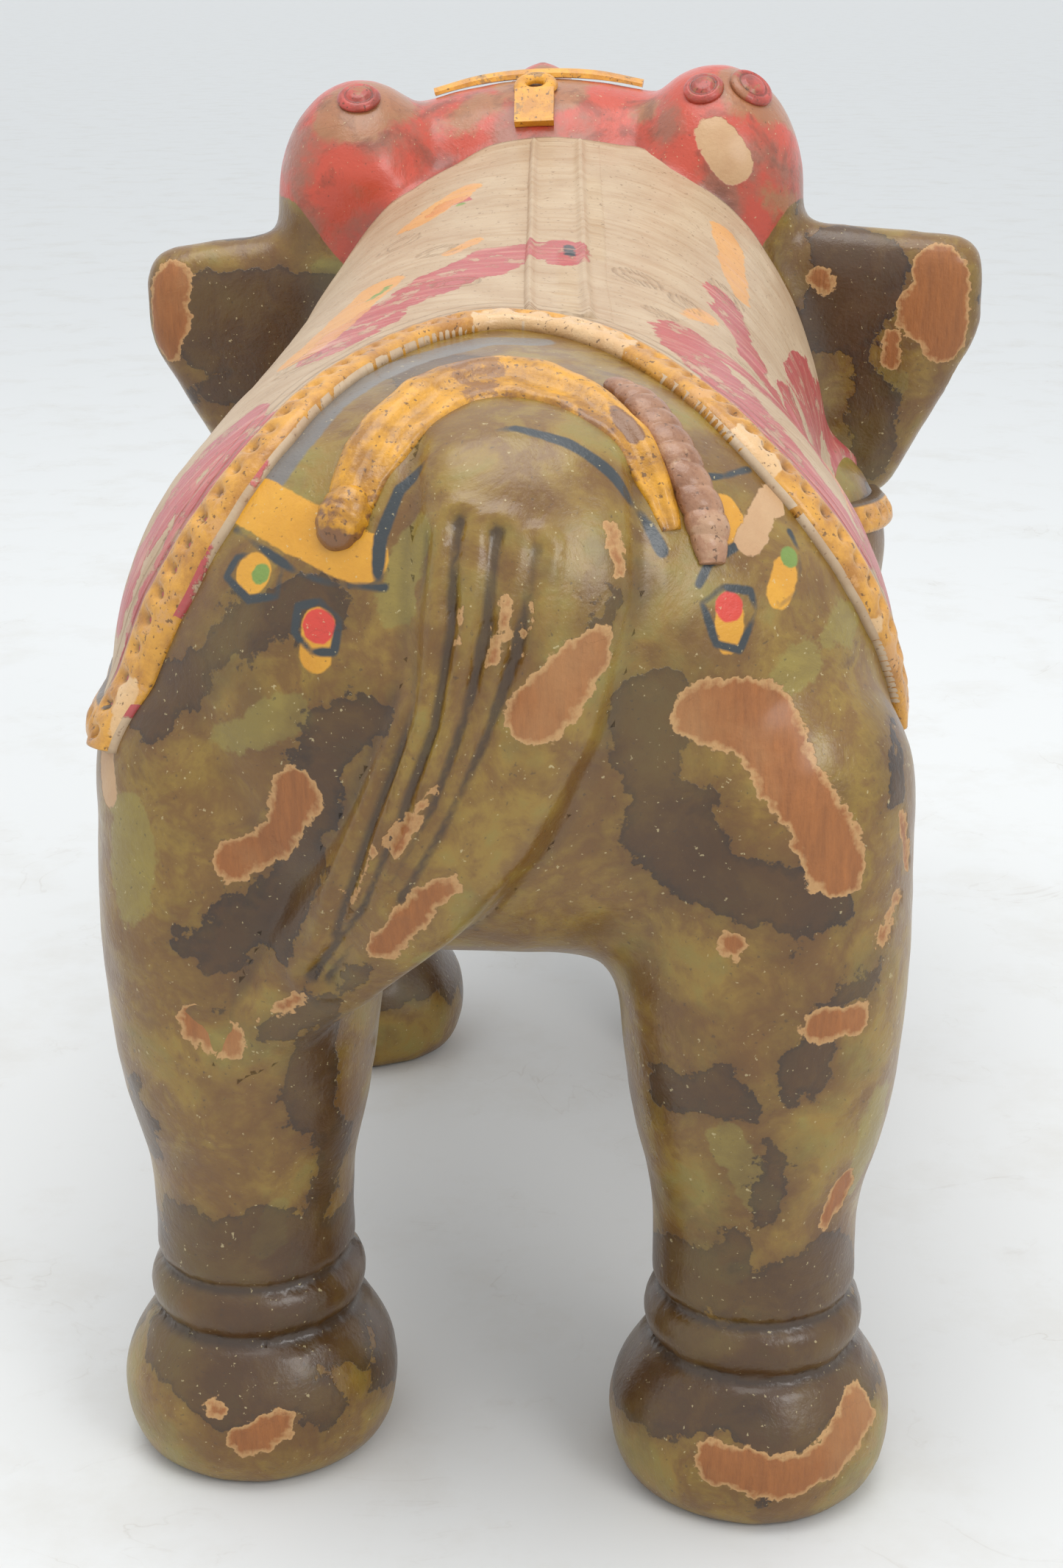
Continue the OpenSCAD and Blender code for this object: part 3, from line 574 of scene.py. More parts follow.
# Old distemper on lime gesso under brown shellac: satin, mottled, darker where it pooled,
# broken through to pale gesso rims and orange-brown wood
def makeSkinFinish():
    material = bpy.data.materials.new("shellackedDistemper")
    material.use_nodes = True
    tree = material.node_tree
    shader = tree.nodes["Principled BSDF"]
    place = addNode(tree, "TexCoord", output="Object")
    wide = addNode(tree, "TexNoise", {"Vector": place, "Scale": 1 / (30 * mm), "Detail": 5.0,
                                      "Roughness": 0.6})
    blotch = addNode(tree, "TexNoise", {"Vector": place, "Scale": 1 / (8 * mm), "Detail": 6.0,
                                        "Roughness": 0.65,
                                        "Distortion": 0.4})
    grit = addNode(tree, "TexNoise", {"Vector": place, "Scale": 1 / (0.7 * mm), "Detail": 3.0})
    tone = addNode(tree, "Math", {0: wide, 1: 0.6, 2: 0.0}, operation="MULTIPLY_ADD")
    tone = addNode(tree, "Math", {0: blotch, 1: 0.4, 2: tone}, operation="MULTIPLY_ADD")
    ramp = addNode(tree, "ValToRGB", {0: tone})
    stops = ramp.node.color_ramp
    for position, code in ((0.36, "#6b4f26"), (0.42, "#8d7739"), (0.47, "#7a5c2f"), (0.53, "#927b3f"),
                           (0.6, "#8c8350"), (0.66, "#a08c5a")):
        stop = stops.elements.new(position)
        stop.color = paint(code)
    stops.elements.remove(stops.elements[0])
    stops.elements.remove(stops.elements[-1])
    colour = ramp

    # shellac lies in brown clouds
    cloud = addNode(tree, "TexNoise", {"Vector": place, "Scale": 1 / (13 * mm), "Detail": 5.0,
                                       "Roughness": 0.6,
                                       "W": 2.0}, noise_dimensions="4D")
    cloud = addNode(tree, "MapRange", {0: cloud, 1: 0.46, 2: 0.62, 3: 0.0, 4: 0.75})
    colour = addNode(tree, "Mix", {0: cloud, 6: colour, 7: paint("#6a4a22")}, 2, data_type="RGBA")

    pale, _, _ = raggedEdge(tree, fieldOf(tree, "pale"), place, 6.0, 0.6, 0.6, 1.0)
    paleFade = addNode(tree, "Math", {0: pale, 1: 0.5}, operation="MULTIPLY")
    colour = addNode(tree, "Mix", {0: paleFade, 6: colour, 7: paint("#95935f")}, 2, data_type="RGBA")

    umber, umberEdge, middle = raggedEdge(tree, fieldOf(tree, "umber"), place, 9.0, 0.9, 0.3, 2.0)
    around = addNode(tree, "MapRange", {0: umberEdge, 1: middle - 4.5, 2: middle, 3: 0.0, 4: 0.45})
    colour = addNode(tree, "Mix", {0: around, 6: colour, 7: paint("#55370f")}, 2, data_type="RGBA")
    umberTone = addNode(tree, "Mix", {0: blotch, 6: paint("#211307"), 7: paint("#563918")}, 2,
                        data_type="RGBA")
    thin = addNode(tree, "MapRange", {0: umberEdge, 1: middle, 2: middle + 1.6, 3: 1.0, 4: 0.0})
    umberTone = addNode(tree, "Mix", {0: thin, 6: umberTone, 7: paint("#231512")}, 2, data_type="RGBA")
    depth = addNode(tree, "MapRange", {0: wide, 1: 0.35, 2: 0.65, 3: 0.95, 4: 0.45})
    umberFade = addNode(tree, "Math", {0: umber, 1: depth}, operation="MULTIPLY")
    colour = addNode(tree, "Mix", {0: umberFade, 6: colour, 7: umberTone}, 2, data_type="RGBA")

    # the amber of the shellac over all of it
    colour = addNode(tree, "Mix", {0: 1.0, 6: colour, 7: paint("#f2e2a8")}, 2, data_type="RGBA",
                     blend_type="MULTIPLY")

    slate, _, _ = raggedEdge(tree, fieldOf(tree, "slate"), place, 0.5, 0.3, 0.5)
    slateTone = addNode(tree, "Mix", {0: blotch, 6: paint("#5d5550"), 7: paint("#7b766f")}, 2,
                        data_type="RGBA")
    colour = addNode(tree, "Mix", {0: slate, 6: colour, 7: slateTone}, 2, data_type="RGBA")

    red, _, _ = raggedEdge(tree, fieldOf(tree, "vermilion"), place, 0.8, 0.3, 0.3)
    redTone = addNode(tree, "Mix", {0: wide, 6: paint("#9a3a2c"), 7: paint("#cf4e30")}, 2, data_type="RGBA")
    worn = addNode(tree, "MapRange", {0: cloud, 1: 0.1, 2: 0.6, 3: 0.0, 4: 0.85})
    redTone = addNode(tree, "Mix", {0: worn, 6: redTone, 7: paint("#8e5a44")}, 2, data_type="RGBA")
    rubbed, _, _ = raggedEdge(tree, fieldOf(tree, "rubbed"), place, 5.0, 1.0, 1.6, 7.0)
    rubbedTone = addNode(tree, "Mix", {0: blotch, 6: paint("#7a4a2c"), 7: paint("#b48457")}, 2,
                         data_type="RGBA")
    rubbedFade = addNode(tree, "Math", {0: rubbed, 1: 0.85}, operation="MULTIPLY")
    redTone = addNode(tree, "Mix", {0: rubbedFade, 6: redTone, 7: rubbedTone}, 2, data_type="RGBA")
    soot = addNode(tree, "MapRange", {0: blotch, 1: 0.52, 2: 0.64, 3: 0.0, 4: 0.55})
    redTone = addNode(tree, "Mix", {0: soot, 6: redTone, 7: paint("#63351f")}, 2, data_type="RGBA")
    colour = addNode(tree, "Mix", {0: red, 6: colour, 7: redTone}, 2, data_type="RGBA")

    for name, light, dark, bite in (("gold", "#dda32a", "#b97a17", 0.5), ("leaf", "#7d9440", "#5f7a34", 0.3),
                                    ("scarlet", "#d8432c", "#b9352c", 0.3)):
        spot, _, _ = raggedEdge(tree, fieldOf(tree, name), place, bite, 0.25, 0.25)
        spotTone = addNode(tree, "Mix", {0: blotch, 6: paint(dark), 7: paint(light)}, 2, data_type="RGBA")
        colour = addNode(tree, "Mix", {0: spot, 6: colour, 7: spotTone}, 2, data_type="RGBA")
    ink, _, _ = raggedEdge(tree, fieldOf(tree, "ink"), place, 0.12, 0.12, 0.3)
    colour = addNode(tree, "Mix", {0: ink, 6: colour, 7: paint("#2e3335")}, 2, data_type="RGBA")

    # grime and painted shade darkening the hollows, rubbed tops
    hollow = addNode(tree, "MapRange", {0: fieldOf(tree, "hollow"), 1: 0.03, 2: 0.4, 3: 0.0, 4: 0.75})
    colour = addNode(tree, "Mix", {0: hollow, 6: colour, 7: paint("#38281a")}, 2, data_type="RGBA")
    specks = addNode(tree, "MapRange", {0: grit, 1: 0.69, 2: 0.72, 3: 0.0, 4: 0.55})
    colour = addNode(tree, "Mix", {0: specks, 6: colour, 7: paint("#c2b184")}, 2, data_type="RGBA")
    pits = addNode(tree, "MapRange", {0: grit, 1: 0.33, 2: 0.28, 3: 0.0, 4: 0.5})
    colour = addNode(tree, "Mix", {0: pits, 6: colour, 7: paint("#3a2c1c")}, 2, data_type="RGBA")

    chalk, _, _ = raggedEdge(tree, fieldOf(tree, "chalk"), place, 1.2, 0.5, 0.2, 4.0)
    chalkTone = addNode(tree, "Mix", {0: blotch, 6: paint("#ad8058"), 7: paint("#c7a67c")}, 2,
                        data_type="RGBA")
    colour = addNode(tree, "Mix", {0: chalk, 6: colour, 7: chalkTone}, 2, data_type="RGBA")

    bare, bareEdge, middle = raggedEdge(tree, fieldOf(tree, "bare"), place, 3.6, 0.9, 0.16, 5.0)
    grain = addNode(tree, "Mapping", {0: place, 3: (2.4, 1.0, 0.35)})
    grain = addNode(tree, "TexNoise", {"Vector": grain, "Scale": 1 / (2.2 * mm), "Detail": 5.0,
                                       "Roughness": 0.7})
    wood = addNode(tree, "Mix", {0: grain, 6: paint("#70411b"), 7: paint("#ad6a30")}, 2, data_type="RGBA")
    dusty = addNode(tree, "MapRange", {0: wide, 1: 0.48, 2: 0.62, 3: 0.0, 4: 0.45})
    wood = addNode(tree, "Mix", {0: dusty, 6: wood, 7: paint("#ad8050")}, 2, data_type="RGBA")
    rim = addNode(tree, "MapRange", {0: bareEdge, 1: middle + 0.25, 2: middle + 0.95, 3: 1.0, 4: 0.0})
    rimFade = addNode(tree, "Math", {0: rim, 1: 0.6}, operation="MULTIPLY")
    wood = addNode(tree, "Mix", {0: rimFade, 6: wood, 7: paint("#c7a06a")}, 2, data_type="RGBA")
    colour = addNode(tree, "Mix", {0: bare, 6: colour, 7: wood}, 2, data_type="RGBA")
    tree.links.new(colour, shader.inputs["Base Color"])

    rough = addNode(tree, "MapRange", {0: blotch, 1: 0.3, 2: 0.7, 3: 0.27, 4: 0.46})
    rough = addNode(tree, "Mix", {0: bare, 2: rough, 3: 0.68}, 0, data_type="FLOAT")
    rough = addNode(tree, "Mix", {0: chalk, 2: rough, 3: 0.6}, 0, data_type="FLOAT")
    tree.links.new(rough, shader.inputs["Roughness"])
    # heights in mm: the coat stands proud of the wood, its face slightly pebbled
    height = addNode(tree, "Math", {0: bare, 1: -0.28, 2: 0.0}, operation="MULTIPLY_ADD")
    height = addNode(tree, "Math", {0: umber, 1: 0.06, 2: height}, operation="MULTIPLY_ADD")
    height = addNode(tree, "Math", {0: chalk, 1: -0.12, 2: height}, operation="MULTIPLY_ADD")
    height = addNode(tree, "Math", {0: grit, 1: 0.09, 2: height}, operation="MULTIPLY_ADD")
    height = addNode(tree, "Math", {0: blotch, 1: 0.5, 2: height}, operation="MULTIPLY_ADD")
    woodRidge = addNode(tree, "Math", {0: grain, 1: bare}, operation="MULTIPLY")
    height = addNode(tree, "Math", {0: woodRidge, 1: 0.35, 2: height}, operation="MULTIPLY_ADD")
    bump = addNode(tree, "Bump", {"Height": height, "Distance": mm, "Strength": 0.8})
    tree.links.new(bump, shader.inputs["Normal"])
    shader.inputs["Coat Weight"].default_value = 0.32
    shader.inputs["Coat Roughness"].default_value = 0.2
    shader.inputs["IOR"].default_value = 1.5
    return material


skin = blendBlocks()
keepOutside(skin)
print("skin", len(skin.polygons), "faces")
carveSkin(skin)
paintSkin(skin)
refineLines(skin)
fillFields(skin)
skinFinish = makeSkinFinish()
sawApart(skin, skinFinish)
print("body sawn")

# What is laid on the back finds its height on the carved skin
bm = bmesh.new()
bm.from_mesh(skin)
bodyTree = BVHTree.FromBMesh(bm)
bm.free()
axisUp = 29


def outward(place):  # away from the barrel's axis
    return Vector((place.x, 0, place.z - (seatZ + axisUp) * mm)).normalized()


def seatOnBack(place, lift):
    out = outward(place)
    start = at(0, 0, axisUp)
    start.y = place.y
    start += out * 110 * mm
    hit = bodyTree.ray_cast(start, -out, 105 * mm)[0]
    return (hit or place) + out * lift * mm


# A smooth line through stops (left, in from the rump, above the seats), at equal steps
def smoothLine(stops, count):
    points = np.array([at(*stop) for stop in stops]) / mm
    ends = np.vstack([2 * points[0] - points[1], points, 2 * points[-1] - points[-2]])
    fine = []
    for a, b, c, d in zip(ends[:-3], ends[1:-2], ends[2:-1], ends[3:]):
        for t in np.linspace(0, 1, 24, endpoint=False):
            fine.append(0.5 * (2 * b + (c - a) * t + (2 * a - 5 * b + 4 * c - d) * t * t
                               + (3 * b - a - 3 * c + d) * t ** 3))
    fine = np.array(fine + [points[-1]])
    run = np.concatenate([[0], np.cumsum(np.linalg.norm(np.diff(fine, axis=0), axis=1))])
    steps = np.linspace(0, run[-1], count)
    return np.stack([np.interp(steps, run, fine[:, axis]) for axis in range(3)], 1), run[-1]


def steadied(values, reach):
    kernel = np.ones(2 * reach + 1) / (2 * reach + 1)
    padded = np.pad(values, ((reach, reach), (0, 0)), mode="edge")
    return np.stack([np.convolve(padded[:, axis], kernel, "valid") for axis in range(values.shape[1])], 1)


def unit(vectors):
    return vectors / np.linalg.norm(vectors, axis=1)[:, None]


# A grid of lanes by stations, seen as (along, across) shares
def gridShares(bm, lanes, stations):
    bmesh.ops.create_grid(bm, x_segments=lanes, y_segments=stations, size=0.5)
    return [(v, v.co.y + 0.5, v.co.x + 0.5) for v in bm.verts]


# Gives a sheet that lies on the back its thickness, down into the wood
def sinkSheet(bm, depth):
    lower = bmesh.ops.extrude_face_region(bm, geom=bm.faces[:], use_keep_orig=True)["geom"]
    for v in lower:
        if isinstance(v, bmesh.types.BMVert):
            v.co -= outward(v.co) * depth * mm


# A band along a line on the back. across runs from 0 at the line to width, on the side that
# inwards points to, and lift gives its height over the body there.
def layBand(line, inwards, width, lanes, lift, depth):
    bm = bmesh.new()
    stations = len(line) - 1
    alongLayer = bm.verts.layers.float.new("along")
    acrossLayer = bm.verts.layers.float.new("across")
    length = np.linalg.norm(np.diff(line, axis=0), axis=1).sum()
    for v, along, across in gridShares(bm, lanes, stations):
        station = round(along * stations)
        v[alongLayer] = along * length
        v[acrossLayer] = across * width
        place = Vector(line[station] + inwards[station] * across * width) * mm
        v.co = seatOnBack(place, lift(along * length, across * width))
    sinkSheet(bm, depth)
    return bm


# A bead of gesso along a line on the body. section gives its ring of (across, height) at a share
def layBead(stops, stations, section, hold=5):
    line, length = smoothLine(stops, stations + 1)
    found = [bodyTree.find_nearest(Vector(p) * mm)[:2] for p in line]
    seats = steadied(np.array([f[0] for f in found]) / mm, 2)
    normals = unit(steadied(np.array([f[1] for f in found]), hold))
    ahead = unit(np.gradient(seats, axis=0))
    sides = unit(np.cross(ahead, normals))
    rings = [section(k / stations) for k in range(stations + 1)]
    around = len(rings[0])
    bm = bmesh.new()
    alongLayer = bm.verts.layers.float.new("along")
    for v, along, turn in gridShares(bm, around, stations):
        station = round(along * stations)
        across, height = rings[station][round(turn * around) % around]
        v[alongLayer] = along * length
        v.co = Vector(seats[station] + sides[station] * across + normals[station] * height) * mm
    bmesh.ops.remove_doubles(bm, verts=bm.verts, dist=1e-7)
    ends = [e for e in bm.edges if e.is_boundary]
    bmesh.ops.holes_fill(bm, edges=ends, sides=0)
    return bm


def fieldBm(bm, fields):
    places = np.array([v.co for v in bm.verts]) / mm
    for name, strokes in fields.items():
        layer = bm.verts.layers.float.new(name)
        values = insideStrokes(places, strokes) if isinstance(strokes, list) else strokes(places)
        for v, value in zip(bm.verts, values):
            v[layer] = value


cloth = {"lift": 1.2, "depth": 1.6, "lanes": 190, "rows": 170, "hem": 91}
# Rear edge of the cloth: degrees down from the spine, and how far in from the rump
clothRear = {
    1: [(0, 60.5), (8, 57.5), (17, 49), (24, 34.5), (30, 24.5), (38, 19), (48, 16), (61, 15), (78, 17),
        (91, 16)],
    -1: [(0, 60.5), (8, 56.5), (19, 48), (27, 36.5), (36, 27), (45, 23.5), (57, 22), (69, 23.5), (83, 29),
         (91, 32)],
}
clothFront = [(0, 174), (12, 174), (25, 166), (91, 163)]
border = {"width": 5.5, "height": 0.9, "pitch": 3.7, "hole": 0.75, "holeDepth": 0.9, "lane": 2.9}
spine = {"apart": 4.0, "cord": 0.9, "cordWidth": 0.7, "tick": 1.7, "tickHeight": 0.3}
crimsonStrokes = [
    (6.0, (25, 62, 72), (22, 74, 75), (15, 86, 78), (8, 98, 80)),
    (6.5, (12, 92, 79), (4, 104, 81), (-2, 106, 81), (-5, 101, 80, 4)),
    (5.5, (30, 26, 67), (37, 20, 58), (42, 19, 48), (46, 19, 37)),
    (5.0, (34, 36, 65), (42, 30, 54), (47, 32, 42)),
    (5.0, (-22, 70, 74), (-27, 56, 71), (-32, 40, 67), (-38, 34, 61), (-43, 31, 54)),
    (5.0, (-30, 116, 73), (-35, 98, 68), (-39, 78, 62), (-43, 58, 56), (-46, 38, 47)),
    (4.6, (-24, 76, 74), (-32, 70, 69), (-40, 62, 61)),
    (2.2, (16, 144, 85), (20, 140, 83)),
]
orangeStrokes = [
    (4.2, (30, 66, 70), (27, 82, 73), (23, 98, 76)),
    (1.3, (14, 108, 80), (10, 116, 81)),
    (2.6, (-27, 98, 73), (-24, 90, 75)),
    (3.6, (-30, 150, 79), (-33, 128, 73)),
    (3.4, (22, 138, 81), (14, 150, 84)),
    (1.3, (-42, 60, 58), (-44, 44, 54)),
    (1.4, (41, 42, 55)),
]
sprigStrokes = [
    (1.2, (24, 90, 76), (22, 95, 77)),
    (1.2, (-28, 98, 72), (-30, 92, 71)),
    (1.1, (-25, 144, 81), (-27, 136, 79)),
    (1.0, (15, 141, 84)),
    (1.0, (44, 48, 50)),
]
# Curls scored in the gesso: place, and the radius of the outer ring
curls = [((-16, 100, 79), 4.2), ((-24, 97, 76), 3.8), ((-20, 82, 77), 3.6), ((11, 86, 79), 3.6),
         ((16, 112, 80), 3.4), ((30, 60, 69), 3.8), ((-33, 80, 68), 4.0), ((-30, 122, 73), 3.8),
         ((24, 128, 79), 3.8), ((38, 84, 62), 4.2), ((-42, 110, 56), 4.2), ((36, 112, 64), 4.0)]


def rearInset(angle):
    side = 1 if angle >= 0 else -1
    degrees, insets = zip(*clothRear[side])
    spread = [abs(angle) + step for step in (-4, -2, 0, 2, 4)]
    return sum(np.interp(abs(a), degrees, insets) for a in spread) / len(spread)


def frontInset(angle):
    degrees, insets = zip(*clothFront)
    return np.interp(abs(angle), degrees, insets)


def onBarrel(angle, inset, lift):
    turn = math.radians(angle)
    return seatOnBack(at(60 * math.sin(turn), inset, axisUp + 60 * math.cos(turn)), lift)


rearLine = np.array([onBarrel(a, rearInset(a), 0) for a in np.linspace(-cloth["hem"], cloth["hem"],
                                                                       400)]) / mm


def curlField(places):  # distance inside the nearest scored ring
    best = np.full(len(places), -9.0)
    for place, radius in curls:
        gap = np.linalg.norm(places - np.array(at(*place)) / mm, axis=1)
        for ring in (radius, radius * 0.62):
            best = np.maximum(best, -np.abs(gap - ring))
    return best


def crimsonField(places):  # down the flanks the crimson is left in broad islands
    down = (rumpY - places[:, 1] > 62) * smoothRise(66 - (places[:, 2] - seatZ), 0, 8)
    islands = np.clip(20 * (noiseAt(places, 19, 5) + 0.06), -9, 9)
    return np.maximum(insideStrokes(places, crimsonStrokes), islands * down - 9 * (1 - down))


clothFields = {
    "crimson": crimsonField,
    "orange": orangeStrokes,
    "sprig": sprigStrokes,
    "bar": [(0.9, (-5, 103, 80), (-4.6, 110, 80.5))],
    "curl": curlField,
    "edge": lambda places: gapTo(places, rearLine[::2]),
}


def makeCloth():
    # where the domes rise through the cloth it carries on at its own slope, underneath them
    steepest = 0.3
    places = {}
    for lane in range(cloth["lanes"] + 1):
        angle = cloth["hem"] * (2 * lane / cloth["lanes"] - 1)
        turn = math.radians(angle)
        out = Vector((math.sin(turn), 0, math.cos(turn)))
        rear, front = rearInset(angle), frontInset(angle)
        step = (front - rear) / cloth["rows"]
        reach = 1e3
        for row in range(cloth["rows"] + 1):
            inset = rear + step * row
            axis = at(0, inset, axisUp)
            found = (onBarrel(angle, inset, 0) - axis).length / mm
            reach = found if inset < 120 else min(found, reach + steepest * step)
            places[lane, row] = axis + out * (reach + cloth["lift"]) * mm
    bm = bmesh.new()
    for v, along, across in gridShares(bm, cloth["lanes"], cloth["rows"]):
        v.co = places[round(across * cloth["lanes"]), round(along * cloth["rows"])]
    sinkSheet(bm, cloth["depth"])
    fieldBm(bm, clothFields)
    return bm


def makeBorder():
    def lift(along, across):
        rim = min(across, border["width"] - across)
        rise = border["height"] * (1 - math.exp(-max(rim, 0) / 0.5))
        phase = (along / border["pitch"] + 0.5) % 1 - 0.5
        gap = math.hypot(phase * border["pitch"], across - border["lane"])
        pearl = 0.22 * math.cos(math.tau * (phase + 0.5)) * math.exp(-((across - border["lane"]) / 1.1) ** 2)
        return cloth["lift"] + rise + pearl - border["holeDepth"] * math.exp(-(gap / border["hole"]) ** 2)

    stations = 560
    angles = np.linspace(-cloth["hem"], cloth["hem"], stations + 1)
    line = np.array([onBarrel(a, rearInset(a), 0) for a in angles]) / mm
    run = np.concatenate([[0], np.cumsum(np.linalg.norm(np.diff(line, axis=0), axis=1))])
    even = np.interp(np.linspace(0, run[-1], stations + 1), run, angles)
    line = np.array([onBarrel(a, rearInset(a), 0) for a in even]) / mm
    line = steadied(line, 3)
    ahead = unit(steadied(np.gradient(line, axis=0), 8))
    outs = np.array([outward(Vector(p) * mm) for p in line])
    inwards = unit(np.cross(ahead, outs))
    inwards *= np.sign(-inwards[:, 1:2])
    whole = layBand(line, inwards, border["width"], 14, lift, 2.0)
    for side in (-1, 1):
        hemLine = []
        for inset in np.linspace(rearInset(side * 88) + 3, 163, 300):
            hemLine.append(onBarrel(side * cloth["hem"], inset, 0) / mm)
        hemLine = np.array(hemLine)
        rising = np.tile([0, 0, 1.0], (len(hemLine), 1))
        hem = layBand(hemLine, rising, border["width"], 14, lift, 2.0)
        mesh = bpy.data.meshes.new("hem")
        hem.to_mesh(mesh)
        hem.free()
        whole.from_mesh(mesh)
        bpy.data.meshes.remove(mesh)
    fieldBm(whole, {
        "flake": [(3.2, (3, 60, 76), (-7, 58, 75.5), (-13, 51, 74)), (1.8, (-30, 28, 67), (-33, 25, 64)),
                  (1.5, (46, 18, 36), (47, 17, 31)), (2.0, (-46, 26, 44)), (2.0, (47, 70, 31)),
                  (2.4, (-47, 110, 31))],
    })
    return whole


def makeSpineBand():
    lanes, width = 34, 13.0
    right = -8.2

    def lift(along, across):
        x = across + right
        cords = sum(math.exp(-((x - s * spine["apart"]) / spine["cordWidth"]) ** 2) for s in (-1, 1))
        tick = (0.5 + 0.5 * math.cos(math.tau * along / spine["tick"])) ** 2 * spine["tickHeight"]
        inner = math.exp(-((x + 1.6) / 1.6) ** 4) * smoothRise(42 - along, 0, 3)
        outer = math.exp(-((x + 6.2) / 1.5) ** 4) * smoothRise(along, 36, 40) * smoothRise(88 - along, 0, 3)
        sink = 0.5 * smoothRise(abs(across - width / 2), width / 2 - 0.8, width / 2)
        return cloth["lift"] + 0.04 + spine["cord"] * cords + tick * (inner + outer) - sink

    line, _ = smoothLine([(-5.2, 65, 75), (-3.4, 95, 79), (-2.1, 121, 82), (-0.4, 150, 86), (0.6, 172, 90)],
                         260)
    line = steadied(np.array([seatOnBack(Vector(p) * mm, 0) for p in line]) / mm, 3)
    ahead = unit(np.gradient(line, axis=0))
    outs = np.array([outward(Vector(p) * mm) for p in line])
    lefts = unit(np.cross(ahead, outs))
    lefts *= np.sign(lefts[:, 0:1])
    bm = layBand(line + lefts * right, lefts, width, lanes, lift, 1.6)
    fieldBm(bm, clothFields)
    return bm


strap = {"stops": [(16.5, 11.5, 61), (14.6, 15, 66), (10.5, 20.5, 71), (5, 26, 74), (-2, 28, 75),
                   (-9, 25, 74),
                   (-14.5, 20, 70), (-18.5, 15.5, 64), (-21, 12, 58)],
         "half": [3.2, 4.6, 5.3, 5.7, 5.6, 4.8, 3.5, 2.7, 1.4],
         "height": [2.0, 2.6, 2.8, 2.9, 2.7, 2.3, 2.0, 1.6, 0.6]}
# across from the outer edge (-1) to the edge next to the tail (1): a crest and a low shoulder
strapProfile = [(-1, -0.1), (-0.9, 0.2), (-0.68, 0.72), (-0.42, 0.96), (-0.15, 1.0), (0.08, 0.86),
                (0.25, 0.55),
                (0.42, 0.42), (0.66, 0.42), (0.88, 0.34), (1, -0.1)]
knob = {"place": (17.2, 10.5, 60), "size": (3.4, 3.2, 4.3)}
rope = {"stops": [(-14, 31, 74), (-18, 26, 72), (-21.5, 20, 69), (-24, 15.5, 64.5), (-26, 12.5, 60),
                  (-26.5, 10.5, 55)],
        "ribs": 10, "radius": 2.8}


def makeStrap():
    across, height = (np.array(column) for column in zip(*strapProfile))
    shares = np.linspace(-1, 1, 24)
    tops = np.interp(shares, across, height)

    def section(t):
        steps = np.linspace(0, 1, len(strap["half"]))
        half = np.interp(t, steps, strap["half"])
        high = np.interp(t, steps, strap["height"])
        ring = [(half * s, high * h) for s, h in zip(shares, tops)]
        return ring + [(half * s, -1.6) for s in np.linspace(0.9, -0.9, 6)]

    bm = layBead(strap["stops"], 150, section, 9)
    for v in bm.verts:
        v.co += outward(v.co) * mm * (0.3 * noise.noise(v.co / (3.2 * mm)) - 0.1)
    end = bmesh.ops.create_uvsphere(bm, u_segments=40, v_segments=28, radius=1)["verts"]
    wide, deep, tall = knob["size"]
    centre = at(*knob["place"])
    lean = Vector((0.35, 0.45, -0.82)).normalized().to_track_quat("Z", "Y")
    for v in end:
        rings = 1 + 0.035 * math.cos(v.co.z * 16)
        place = Vector((v.co.x * wide * rings, v.co.y * deep * rings, v.co.z * tall)) * mm
        v.co = centre + lean @ place
    fieldBm(bm, {"flake": [(3.2, knob["place"], (18, 9.5, 57)),
                           (1.3, (-9, 25, 77), (-13, 21, 74), (-17, 17, 69)),
                           (0.8, (2, 24, 77), (-4, 24.5, 77))]})
    return bm


def makeRope():
    def section(t):
        taper = min(1, 0.55 + 2.2 * t, 0.6 + 3 * (1 - t))
        ring = []
        for a in np.linspace(0, math.tau, 24, endpoint=False):
            twist = 0.16 * math.cos(a) / rope["ribs"]
            swell = 0.8 + 0.2 * abs(math.sin(math.pi * rope["ribs"] * (t + twist))) ** 0.6
            ring.append((rope["radius"] * (0.5 + 0.5 * swell) * taper * math.cos(a),
                         0.72 * rope["radius"] * swell * taper * math.sin(a) + 0.3))
        return ring

    return layBead(rope["stops"], 200, section, 12)


